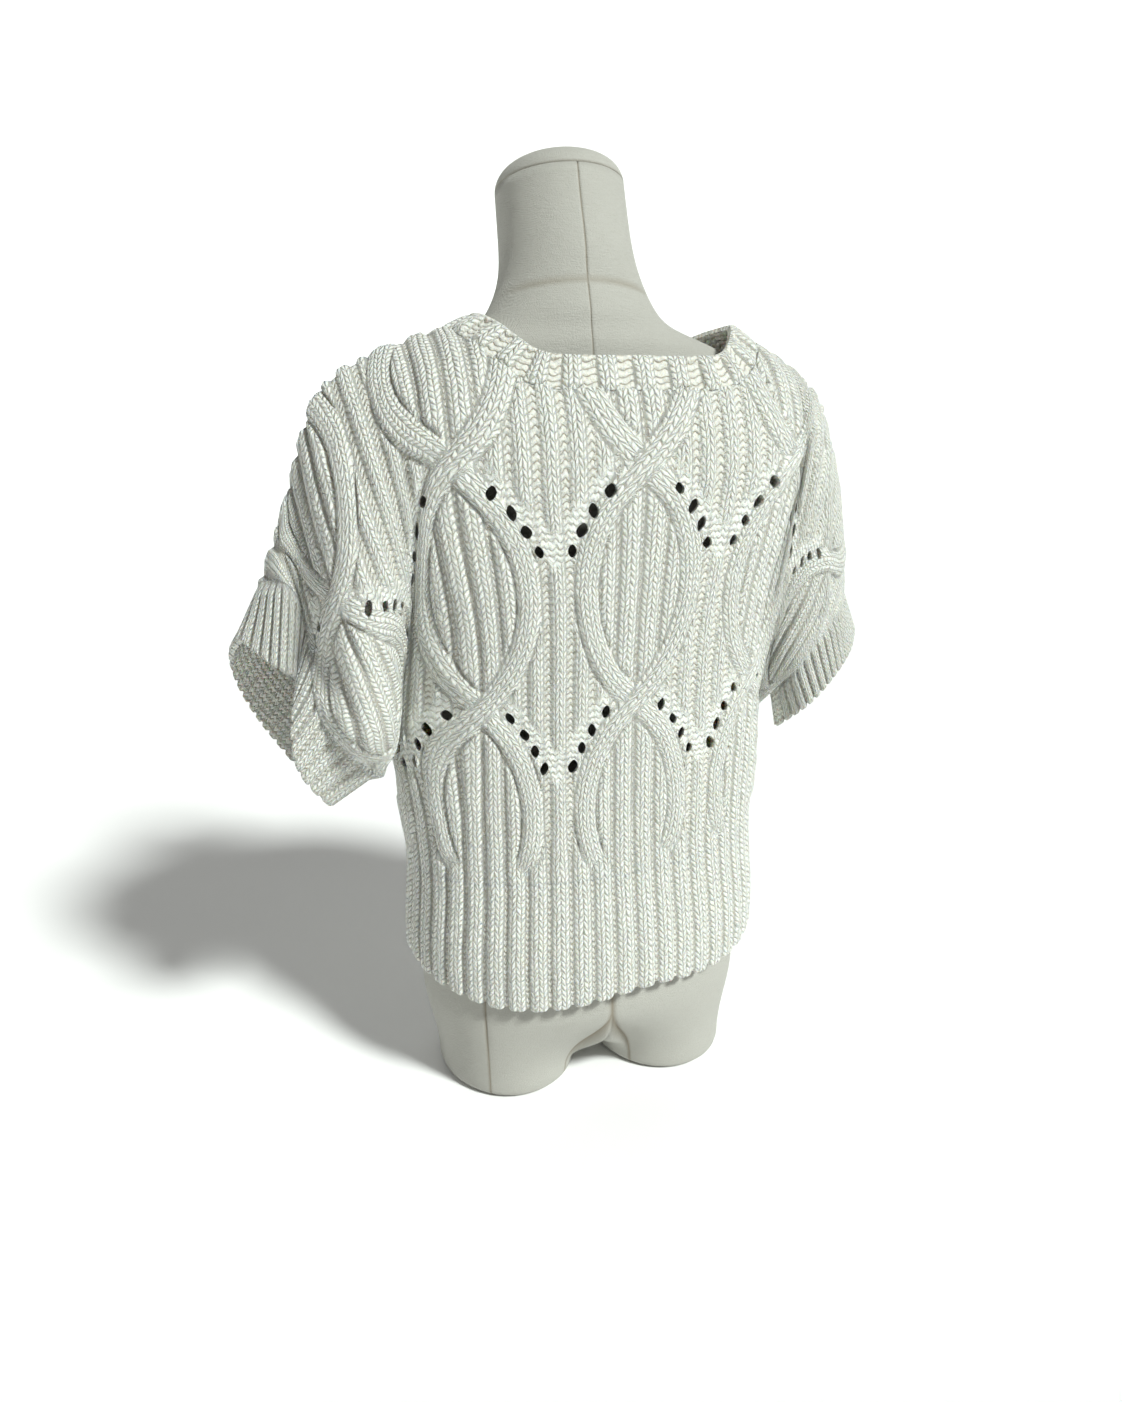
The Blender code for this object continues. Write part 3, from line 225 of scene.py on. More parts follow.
@dataclass(frozen=True)
class Drape:
    """The map from flat cloth to the place where it hangs.

    Below, the cloth follows rings round the body.  Above, it curves over to the shoulder seam, and past
    the armpit it follows the sleeve tables.
    """

    cut: Cut = Cut()
    hem_top_z: float = 246.0
    hem_edge_z: float = 119.0
    turn: float = -17.0                   # how far the garment is turned round the body
    lean: float = -0.05                   # slope of the hem towards one side
    dome_t: float = 347.0                 # where the cloth starts to curve over the shoulders
    dome_z: float = 590.0
    upper_gain: float = 0.05              # how much wider the cloth is spread higher up
    gain_from: float = 200.0
    gain_over: float = 140.0
    lean_reach: float = 400.0             # height at which the hem's slope has gone
    shoulder_y: float = 12.0
    normal_span: float = 9.0
    seam_reach: float = 190.0             # past this half width the side seams pull
    under_reach: float = 90.0             # height over the underarm in which its seam pulls
    over_t: float = 420.0                 # from this height the shoulder seams pull
    # the sleeve takes over from the body from these flat places on, over these lengths
    sleeve_from: tuple = (100.0, 50.0)
    sleeve_over: tuple = (80.0, 90.0)
    # half widths of the places that the sleeves' splines run through, on the body and past it
    body_stations: tuple = (90.0, 130.0, 165.0)
    sleeve_stations: tuple = (210.0, 238.0, 265.0, 300.0, 335.0, 370.0, 405.0)
    # z, left, right, back, front, squareness
    body_sections: tuple = (
        (105.0, 173.0, -180.0, 135.0, -126.0, 2.1),
        (180.0, 173.0, -180.0, 132.0, -122.0, 2.1),
        (243.0, 168.0, -176.0, 122.0, -117.0, 2.1),
        (300.0, 172.0, -180.0, 117.0, -119.0, 2.1),
        (370.0, 172.0, -182.0, 114.0, -126.0, 2.15),
        (450.0, 170.0, -184.0, 112.0, -136.0, 2.2),
        (520.0, 172.0, -192.0, 112.0, -143.0, 2.4),
        (590.0, 186.0, -210.0, 110.0, -136.0, 2.7),
    )
    # flat s, x, z
    shoulder_seam: tuple = (
        (-165.0, -186.0, 679.0), (-138.0, -165.0, 692.0), (-60.0, -84.0, 704.0), (0.0, -29.0, 706.0),
        (60.0, 32.0, 706.0), (138.0, 110.0, 703.0), (165.0, 136.0, 694.0),
    )

    def ring_point(self, arc: Array, z: Array) -> tuple[Array, Array]:
        """A place on the ring round the body at a height, made of four superellipse quarters.

        A quarter is x = width sin(a)^(2/power), y = depth cos(a)^(2/power), read by its arc length.

        Args:
            arc: Arc length from the centre back.
            z: Height.

        Returns:
            x and y.
        """
        table = np.array(self.body_sections)
        held = np.clip(z, table[0, 0], table[-1, 0])
        rows = np.repeat(table[:, None, 1:], len(held), axis=1)
        left, right, back, front, power = spline(table[:, 0], rows, held).T
        half = self.cut.half_width
        on_back = np.abs(arc) <= half
        quarter = np.where(on_back, np.abs(arc), 2.0 * half - np.abs(arc)) / half
        steps = 97
        angle = np.linspace(0.0, np.pi / 2.0, steps)[:, None]
        x = (left - right) / 2.0 * np.sin(angle) ** (2.0 / power)
        y = np.where(on_back, back, -front) * np.cos(angle) ** (2.0 / power)
        run = np.hypot(np.diff(x, axis=0), np.diff(y, axis=0)).cumsum(axis=0)
        run = np.vstack([np.zeros((1, run.shape[1])), run])
        target = quarter * run[-1]
        i = np.clip((run < target).sum(axis=0) - 1, 0, len(run) - 2)
        p = np.arange(len(held))
        f = (target - run[i, p]) / (run[i + 1, p] - run[i, p])
        px = x[i, p] + f * (x[i + 1, p] - x[i, p])
        py = y[i, p] + f * (y[i + 1, p] - y[i, p])
        return (left + right) / 2.0 + np.sign(arc) * px, np.where(on_back, py, -py)

    def arc(self, s: Array, face: Face) -> Array:
        """Arc length round the body of a flat place, with the garment's turn added.

        Args:
            s: Flat places sideways.
            face: The panel.

        Returns:
            Arc lengths from the centre back, negative towards the right.
        """
        half = self.cut.half_width
        over = s if face is Face.BACK else np.where(s > 0, 2.0, -2.0) * half - s
        return (over + self.turn + 2.0 * half) % (4.0 * half) - 2.0 * half

    def body_point(self, s: Array, t: Array, face: Face) -> Array:
        """A place on the body: rings below, and above them a quarter turn to the shoulder seam.

        The turn is seam + (ring - seam) cos(a) sideways and ring + (seam - ring) sin(a) upwards.

        Args:
            s: Flat places sideways.
            t: Flat places upwards.
            face: The panel.

        Returns:
            Points x 3.
        """
        gain = 1.0 + self.upper_gain * smooth((t - self.gain_from) / self.gain_over)
        z = self.hem_top_z + np.minimum(t, self.dome_t) * (self.dome_z - self.hem_top_z) / self.dome_t
        x, y = self.ring_point(self.arc(s * gain, face), z)
        z = z + self.lean * x * (1.0 - smooth(t / self.lean_reach))
        ring = np.stack([x, y, z], axis=1)
        table = np.array(self.shoulder_seam)
        seam = np.stack([np.interp(s, table[:, 0], table[:, 1]), np.full_like(s, self.shoulder_y),
                         np.interp(s, table[:, 0], table[:, 2])], axis=1)
        turn = np.clip((t - self.dome_t) / (self.cut.shoulder_t - self.dome_t), 0.0, 1.0) * np.pi / 2.0
        point = seam + (ring - seam) * np.cos(turn)[:, None]
        point[:, 2] = ring[:, 2] + (seam[:, 2] - ring[:, 2]) * np.sin(turn)
        return point

    def raw_point(self, s: Array, t: Array, face: Face) -> Array:
        """A panel's place before its seams are matched to the other panel's.

        The sleeve is a spline of splines: up each station's levels, then outwards over the stations.

        Args:
            s: Flat places sideways.
            t: Flat places upwards.
            face: The panel.

        Returns:
            Points x 3.
        """
        point = self.body_point(s, t, face)
        half = self.cut.half_width
        far = np.abs(s)
        stretch = (self.sleeve_stations[-1] - half) / (self.cut.reach(t) - half)
        place = np.where(far <= half, far, half + (far - half) * stretch)
        levels = np.array(SLEEVE_LEVELS)
        for side in (1, -1):
            here = s * side > self.body_stations[0]
            table = SLEEVES[side, face]
            near = self.body_stations if face is Face.BACK else self.body_stations[:2]
            rows = [self.body_point(np.full(len(levels), side * q), levels, face) for q in near]
            rows += [np.array(row, float) for row in table]
            height = np.maximum(t[here], levels[0])
            lines = np.stack([spline(SLEEVE_LEVELS, np.repeat(row[:, None], len(height), 1), height)
                              for row in rows])
            sleeve = spline(near + self.sleeve_stations[-len(table):], lines, place[here])
            sleeve[:, 2] += np.minimum(t[here] - levels[0], 0.0)
            share, rising = (smooth((flat[here] - start) / over) for flat, start, over
                             in zip((place, t), self.sleeve_from, self.sleeve_over))
            point[here] += (sleeve - point[here]) * (share * rising)[:, None]
        return point

    def panel_point(self, s: Array, t: Array, face: Face) -> Array:
        """A place on a panel's mean surface, both panels pulled half way to meet along each seam.

        Args:
            s: Flat places sideways.
            t: Flat places upwards.
            face: The panel.

        Returns:
            Points x 3.
        """
        cut = self.cut
        other = Face(-face.value)
        point = self.raw_point(s, t, face)
        side = np.where(s < 0, -1.0, 1.0)
        far = np.abs(s)
        sleeve = far > cut.half_width

        def pull(edge_s: Array, edge_t: Array) -> Array:
            """Half the way from this panel's place on a seam to the other's."""
            return (self.raw_point(edge_s, edge_t, other) - self.raw_point(edge_s, edge_t, face)) / 2.0

        def along(end: float) -> Array:
            """The flat place across a seam whose half width is end."""
            share = (far - cut.half_width) / (cut.reach(t) - cut.half_width)
            return side * np.where(sleeve, cut.half_width + share * (end - cut.half_width), far)

        body_share = smooth((far - self.seam_reach) / (cut.half_width - self.seam_reach))
        body_share = body_share * (t < cut.underarm_t)
        point += pull(side * cut.half_width, t) * body_share[:, None]
        under_share = (1.0 - smooth((t - cut.underarm_t) / self.under_reach)) * sleeve
        point += pull(along(cut.sleeve_low), np.full_like(t, cut.underarm_t)) * under_share[:, None]
        over_share = smooth((t - self.over_t) / (cut.shoulder_t - self.over_t))
        over_share = over_share * (far > self.body_stations[0])
        point += pull(along(cut.sleeve_high), np.full_like(t, cut.shoulder_t)) * over_share[:, None]
        return point

    def panel_frame(self, s: Array, t: Array, face: Face) -> tuple[Array, Array]:
        """A panel's places and outward normals, from the cloth on either side of each place.

        Args:
            s: Flat places sideways.
            t: Flat places upwards.
            face: The panel.

        Returns:
            Points and unit normals.
        """
        cut, d = self.cut, self.normal_span
        limit = np.where(t < cut.underarm_t, cut.half_width, cut.reach(t))
        along_s = unit(self.panel_point(np.minimum(s + d, limit), t, face)
                       - self.panel_point(np.maximum(s - d, -limit), t, face))
        low = np.maximum(t - d, np.where(np.abs(s) > cut.half_width, cut.underarm_t, 0.0))
        along_t = unit(self.panel_point(s, np.minimum(t + d, cut.shoulder_t), face)
                       - self.panel_point(s, low, face))
        return self.panel_point(s, t, face), unit(np.cross(along_s, along_t)) * -face.value


class Lattice:
    """Both panels' mean surfaces, sampled once on a lattice and read between its points.

    Flat places are held as a share of the panel's half width at their height, in two patches that part
    at the underarm.  Where the panels are sewn together they share the mean of their two normals.
    """

    STEP = 5.0

    def __init__(self, drape: Drape) -> None:
        """Samples both panels.

        Args:
            drape: How the flat panels hang.
        """
        self.drape = drape
        cut = drape.cut
        self.patches = []
        for low, high, half in ((0.0, cut.underarm_t, cut.half_width),
                                (cut.underarm_t, cut.shoulder_t, cut.sleeve_high)):
            rows = int(round((high - low) / self.STEP)) + 1
            columns = 2 * int(round(half / self.STEP)) + 1
            upper = half == cut.sleeve_high
            t = np.repeat(np.linspace(low, high, rows), columns)
            share = np.tile(np.linspace(-1.0, 1.0, columns), rows)
            s = share * (cut.reach(t) if upper else cut.half_width)
            # a hair above the seam's height keeps the sleeve branch of the map
            frames = {f: drape.panel_frame(s, t - (0.0 if upper else 1e-6), f) for f in Face}
            both = unit(frames[Face.BACK][1] + frames[Face.FRONT][1])
            if upper:
                sewn = (np.abs(s) >= cut.half_width) & (t == low)
                sewn |= (np.abs(s) >= cut.neck_half) & (t == high)
            else:
                sewn = np.abs(share) == 1.0
            grids = {}
            for f in Face:
                point, normal = frames[f]
                normal = np.where(sewn[:, None], both, normal)
                grids[f] = np.concatenate([point, normal], axis=1).reshape(rows, columns, 6)
            self.patches.append((low, high, upper, grids))

    def read(self, s: Array, t: Array, face: Face) -> tuple[Array, Array]:
        """Places and normals, each a weighted mean of the four lattice corners round it.

        Args:
            s: Flat places sideways.
            t: Flat places upwards.
            face: The panel.

        Returns:
            Points and unit normals.
        """
        cut = self.drape.cut
        out = np.zeros((len(s), 6))
        for low, high, upper, grids in self.patches:
            here = (t >= cut.underarm_t) if upper else (t < cut.underarm_t)
            if not here.any():
                continue
            grid = grids[face]
            rows, columns = grid.shape[:2]
            half = cut.reach(t[here]) if upper else cut.half_width
            c = np.clip((s[here] / half + 1.0) / 2.0, 0.0, 1.0) * (columns - 1)
            r = (t[here] - low) / (high - low) * (rows - 1)
            i, k = np.clip(r.astype(int), 0, rows - 2), np.clip(c.astype(int), 0, columns - 2)
            fr, fc = (r - i)[:, None], (c - k)[:, None]
            out[here] = ((grid[i, k] * (1 - fc) + grid[i, k + 1] * fc) * (1 - fr)
                         + (grid[i + 1, k] * (1 - fc) + grid[i + 1, k + 1] * fc) * fr)
        return out[:, :3], unit(out[:, 3:])


# ---- The knit's relief --------------------------------------------------------------------------
def rope(d: Array) -> Array:
    """Rounded ridge: 1 at its middle, falling steeply at d = 1: (1 - |d|^2.6)^0.6."""
    return np.clip(1.0 - np.abs(d) ** 2.6, 0.0, 1.0) ** 0.6


@dataclass
class Knit:
    """The knit at flat places.

    rise is the height over the plain wall, wale and course count stitches sideways and upwards, plain
    is the share of knit against purl, and level is 1 on a rib and 0 deep in a groove; the yarn's colour
    gets painted shade where level is low.
    """

    rise: Array
    wale: Array
    course: Array
    plain: Array
    level: Array

    def stitch(self) -> Array:
        """Wale, course and plain share as one vector for each place."""
        return np.stack([self.wale.ravel(), self.course.ravel(), self.plain.ravel()], axis=1)


@dataclass(frozen=True)
class Ribbing:
    """Upright ribs of plain wales, parted by purl grooves that take up a share of the pitch."""

    pitch: float
    rise: float = 4.2
    wales: float = 2.0
    groove: float = 0.17
    dip: float = 0.16
    full_level: float = 0.75              # share of the height that counts as level with the ribs

    def across(self, turn: Array, course: Array, groove: "Array | None" = None) -> Knit:
        """The ribs: each a rope d = (part of a rib - 1/2) / half its width, dipped between its wales.

        Args:
            turn: Rib count sideways.
            course: Course count upwards.
            groove: Share of the pitch that is groove, where it changes.

        Returns:
            The knit at each place.
        """
        narrowest, flank, blend = 0.05, 1.04, 0.08
        share = self.groove if groove is None else groove
        d = (turn % 1.0 - 0.5) / (0.5 - share / 2.0)
        hump = 1.0 - self.dip * (0.5 + 0.5 * np.cos(np.pi * self.wales * (d + 1.0)))
        height = rope(np.clip(d, -1.0, 1.0)) * hump
        wale = np.where(np.abs(d) <= 1.0, (d + 1.0) / 2.0 * self.wales,
                        (turn + 0.5) % 1.0 / np.maximum(share, narrowest) + 0.5)
        return Knit(self.rise * height, wale, course, smooth((flank - np.abs(d)) / blend),
                    smooth(height / self.full_level))


@dataclass(frozen=True)
class Stitches:
    """The stitch pattern: upright ribs with rope-like bands travelling over them.

    Two bands bound each leaf and cross at its ends, and rows of eyelets run down beside them to the
    tip of each V between two leaves.
    """

    leaf_repeat: float = 152.0
    leaf_length: float = 195.0
    crossing_t: float = 162.0
    ribs_per_leaf: int = 7
    band_near: float = 18.0               # the bands' distance from the leaf's middle near its ends
    band_far: float = 50.0                # the same half way up
    band_bend: float = 28.0               # height over which they part
    band_width: float = 22.0
    band_rise: float = 5.6
    band_wales: float = 3.0
    band_dip: float = 0.14
    cross_reach: float = 15.0
    cross_swell: float = 0.2              # how much higher the upper band is on a crossing
    cross_sink: float = 0.5               # how much lower the under one is
    purl_rise: float = 1.3
    ladder: float = 0.32                  # share of the pitch that is groove outside the leaves
    seam_t: float = 4.0                   # where the hem's ribs start to turn into the panel's
    hem_blend: float = 60.0
    leaf_blend: float = 6.0
    show_from: float = 6.0                # where the bands come out over the hem's ribs
    show_over: float = 26.0
    course: float = 5.8
    upper_fall: float = 0.24              # how much lower the bands are on a leaf's upper half
    fall_from: float = 18.0
    fall_over: float = 30.0
    row_bend: float = 0.55                # how far the stitch rows follow a slanting band
    purl_reach: float = 30.0              # height of the purled zone over a row of eyelets
    purl_half: float = 56.0               # its half width
    purl_fades: tuple = (8.0, 12.0)       # over which it starts, and ends
    purl_sink: float = 0.7                # how far the ribs sink in it
    purl_level: float = 0.75
    v_slope: float = 1.12
    uneven: tuple = ((0.5, 34.0, 3), (0.35, 9.0, 4))      # height, wave and seed of each
    eyelet_tips: tuple = (98.0, 282.0)
    eyelets: tuple = ((14.0, 11.0), (23.0, 27.0), (33.0, 42.0), (47.0, 57.0))
    eyelet_size: tuple = (9.4, 12.0)
    eyelet_columns: tuple = (-2.5, -1.5, -0.5, 0.5, 1.5, 2.5)
    eyelet_corners: int = 14
    eyelet_power: float = 1.25
    eyelet_spread: tuple = (0.82, 1.12)
    eyelet_lean: float = 0.35
    eyelet_seed: int = 11

    def band(self, down: Array) -> tuple[Array, Array]:
        """A band's path: near tanh(d / bend) + (far - near) sin(pi d / length), odd about d = 0.

        Args:
            down: Flat height over the nearest crossing.

        Returns:
            The band's place sideways from the crossing, and its slope.
        """
        wide = self.band_far - self.band_near
        turn = np.pi / self.leaf_length
        place = self.band_near * np.tanh(down / self.band_bend) + wide * np.sin(turn * down)
        slope = (self.band_near / self.band_bend / np.cosh(down / self.band_bend) ** 2
                 + wide * turn * np.cos(turn * down))
        return place, slope

    def v_zone(self, s: Array, t: Array) -> Array:
        """Share of the purled zone just above each V of eyelets, t = tip + 1.12 |s|.

        Args:
            s: Flat places sideways.
            t: Flat places upwards.

        Returns:
            Numbers from 0 to 1.
        """
        away = np.abs((s % self.leaf_repeat) - self.leaf_repeat / 2.0)
        zone = np.zeros_like(s)
        start, end = self.purl_fades
        for tip in self.eyelet_tips:
            over = t - tip - self.v_slope * away
            here = smooth((over + start) / start) * smooth((self.purl_reach - over) / end)
            zone = np.maximum(zone, here)
        return zone * smooth((self.purl_half - away) / end)

    def knit(self, s: Array, t: Array) -> Knit:
        """The panel's pattern: the highest of the upright ribs, the purled zones and two bands.

        Args:
            s: Flat places sideways.
            t: Flat places upwards; below 0 the pattern is the hem's plain ribbing.

        Returns:
            The knit at each place.
        """
        half = self.band_width / 2.0
        leaf = np.floor(s / self.leaf_repeat + 0.5)
        off = s - leaf * self.leaf_repeat
        down = (t - self.crossing_t + self.leaf_length / 2.0) % self.leaf_length - self.leaf_length / 2.0
        place, slope = self.band(down)
        along = np.sqrt(1.0 + slope**2)
        over, under = (off + place) / along / half, (off - place) / along / half
        on_panel = smooth((t - self.seam_t) / self.hem_blend)

        inside = smooth((np.abs(place) - np.abs(off)) / self.leaf_blend + 0.5)
        groove = HEM_RIBS.groove + (self.ladder - HEM_RIBS.groove) * on_panel * (1.0 - inside)
        pitch = self.leaf_repeat / self.ribs_per_leaf
        turn = s / HEM_RIBS.pitch
        turn = turn + (off / pitch + leaf * self.ribs_per_leaf - turn) * on_panel
        course = t / self.course
        field = HEM_RIBS.across(turn, course, groove)
        show = smooth((t - self.show_from) / self.show_over)
        edge = smooth((np.minimum(np.abs(over), np.abs(under)) - 0.98) / 0.3)
        edge = 1.0 - (1.0 - edge) * show
        zone = self.v_zone(s, t)
        rise = field.rise * edge * (1.0 - self.purl_sink * zone)
        rise = np.maximum(rise, self.purl_rise * zone)
        plain = field.plain * (1.0 - zone)
        level = np.maximum(field.level * edge, self.purl_level * zone)
        wale = field.wale

        # the upper band swells and the lower one sinks where they cross
        near = np.exp(-((down / self.cross_reach) ** 2))
        fall = 1.0 - self.upper_fall * smooth(-(down + self.fall_from) / self.fall_over)
        for d, height in ((under, 1.0 - self.cross_sink * near), (over, 1.0 + self.cross_swell * near)):
            ridge = rope(np.clip(d, -1.0, 1.0))
            hump = 1.0 - self.band_dip * (0.5 + 0.5 * np.cos(self.band_wales * np.pi * (d + 1.0)))
            lift = self.band_rise * ridge * hump * height * show * fall
            top = (lift > rise) & (np.abs(d) < 1.0)
            rise = np.where(top, lift, rise)
            wale = np.where(top, (d + 1.0) * self.band_wales / 2.0, wale)
            row = (t + self.row_bend * np.abs(down) * (along - 1.0)) / self.course
            course = np.where(top, row, course)
            plain = np.where(top, 1.0, plain)
            level = np.where(top, smooth(ridge / 0.8), level)
        for height, wave, seed in self.uneven:
            rise = rise + height * wobble(s, t, wave, seed)
        return Knit(rise, wale, course, plain, level)


HEM_RIBS = Ribbing(pitch=530.0 / 24.0)
SCALLOP_POWER = 1.5                       # how sharply an edge draws in between its ribs


# ---- Meshes -------------------------------------------------------------------------------------
# This level also gives the inside of every wall a little of the yarn's painted groove shade.
INSIDE_LEVEL = 0.6                        # the level given to the plain inside of a wall


@dataclass
class Skin:
    """Points, outward normals and shading values of one side of a cloth wall."""

    point: Array
    normal: Array
    stitch: Array
    level: Array
    faces: Array


def grid_faces(rows: int, columns: int, closed: bool = False) -> Array:
    """Triangles of a grid numbered row by row, each cell split in two.

    Args:
        rows: Rows of points.
        columns: Points in a row.
        closed: Whether a row's last point joins its first.

    Returns:
        Triangles x 3 point numbers.
    """
    span = columns if closed else columns - 1
    r, c = np.meshgrid(np.arange(rows - 1), np.arange(span), indexing="ij")
    a, b = (r * columns + c).ravel(), (r * columns + (c + 1) % columns).ravel()
    d, e = a + columns, b + columns
    return np.vstack([np.stack([a, b, e], 1), np.stack([a, e, d], 1)])


def oriented(point: Array, faces: Array, normal: Array) -> Array:
    """Triangles that face the way the normals do.

    Args:
        point: Points.
        faces: Triangles, all turned one way.
        normal: Outward normals of the points.

    Returns:
        The triangles, all turned over where they faced inwards.
    """
    a, b, c = (point[faces[:, k]] for k in range(3))
    facing = (np.cross(b - a, c - a) * normal[faces[:, 0]]).sum()
    return faces if facing > 0 else faces[:, ::-1]


def rim_of(faces: Array) -> Array:
    """The open edges of a surface.

    Args:
        faces: Triangles.

    Returns:
        Directed edges that only one triangle has, as pairs of point numbers.
    """
    edges = np.vstack([faces[:, (0, 1)], faces[:, (1, 2)], faces[:, (2, 0)]])
    size = int(faces.max()) + 1
    key, twin = edges[:, 0] * size + edges[:, 1], edges[:, 1] * size + edges[:, 0]
    return edges[~np.isin(key, twin)]


def close_wall(outer: Skin, inner: Skin) -> tuple[Array, Array, dict[str, Array], Array]:
    """Joins two skins by a strip of rim into a closed wall.

    Args:
        outer: The outer skin.
        inner: The inner skin, whose edge points are numbered as the outer one's are.

    Returns:
        The wall's points, triangles and shading values, and the rim edges of both skins.
    """
    count = len(outer.point)
    rim = rim_of(outer.faces)
    a, b = rim[:, 0], rim[:, 1]
    strip = np.vstack([np.stack([b, a, a + count], 1), np.stack([b, a + count, b + count], 1)])
    faces = np.vstack([outer.faces, inner.faces[:, ::-1] + count, strip])
    values = {"stitch": np.vstack([outer.stitch, inner.stitch]),
              "level": np.concatenate([outer.level, inner.level])}
    return np.vstack([outer.point, inner.point]), faces, values, np.vstack([rim, rim + count])


def make_piece(name: str, point: Array, faces: Array, material: bpy.types.Material,
               values: "dict[str, Array] | None" = None,
               rim: "Array | None" = None) -> bpy.types.Object:
    """Puts a mesh into the scene.

    Args:
        name: The piece's name.
        point: Its points in millimetres, before the part's centre is moved to the origin.
        faces: Its triangles.
        material: Its finish.
        values: Shading values by attribute name, one number or one vector for each point.
        rim: Edges, as pairs of points, over which the shading breaks.

    Returns:
        The new object, at the origin.
    """
    placed = ((point - CENTRE) * MM).astype(np.float32)
    mesh = bpy.data.meshes.new(name)
    mesh.vertices.add(len(placed))
    mesh.vertices.foreach_set("co", placed.ravel())
    mesh.loops.add(faces.size)
    mesh.loops.foreach_set("vertex_index", faces.astype(np.int32).ravel())
    mesh.polygons.add(len(faces))
    mesh.polygons.foreach_set("loop_start", np.arange(0, faces.size, 3, dtype=np.int32))
    mesh.polygons.foreach_set("use_smooth", np.ones(len(faces), bool))
    mesh.update(calc_edges=True)
    mesh.validate()
    if rim is not None:
        ends = np.empty(len(mesh.edges) * 2, np.int32)
        mesh.edges.foreach_get("vertices", ends)
        ends = np.sort(ends.reshape(-1, 2), axis=1)
        rim = np.sort(rim, axis=1)
        sharp = np.isin(ends[:, 0] * len(placed) + ends[:, 1], rim[:, 0] * len(placed) + rim[:, 1])
        mesh.attributes.new("sharp_edge", "BOOLEAN", "EDGE").data.foreach_set("value", sharp)
    for key, value in (values or {}).items():
        kind, slot = ("FLOAT_VECTOR", "vector") if value.ndim == 2 else ("FLOAT", "value")
        layer = mesh.attributes.new(key, kind, "POINT")
        layer.data.foreach_set(slot, value.astype(np.float32).ravel())
    mesh.materials.append(material)
    piece = bpy.data.objects.new(name, mesh)
    bpy.context.scene.collection.objects.link(piece)
    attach(piece, "root")
    a, b, c = (point[faces[:, k]] for k in range(3))
    area = np.linalg.norm(np.cross(b - a, c - a), axis=1).sum() / 4.0
    LOG.info("%s: %d triangles, one side %.4f m2", name, len(faces), area * MM * MM)
    return piece


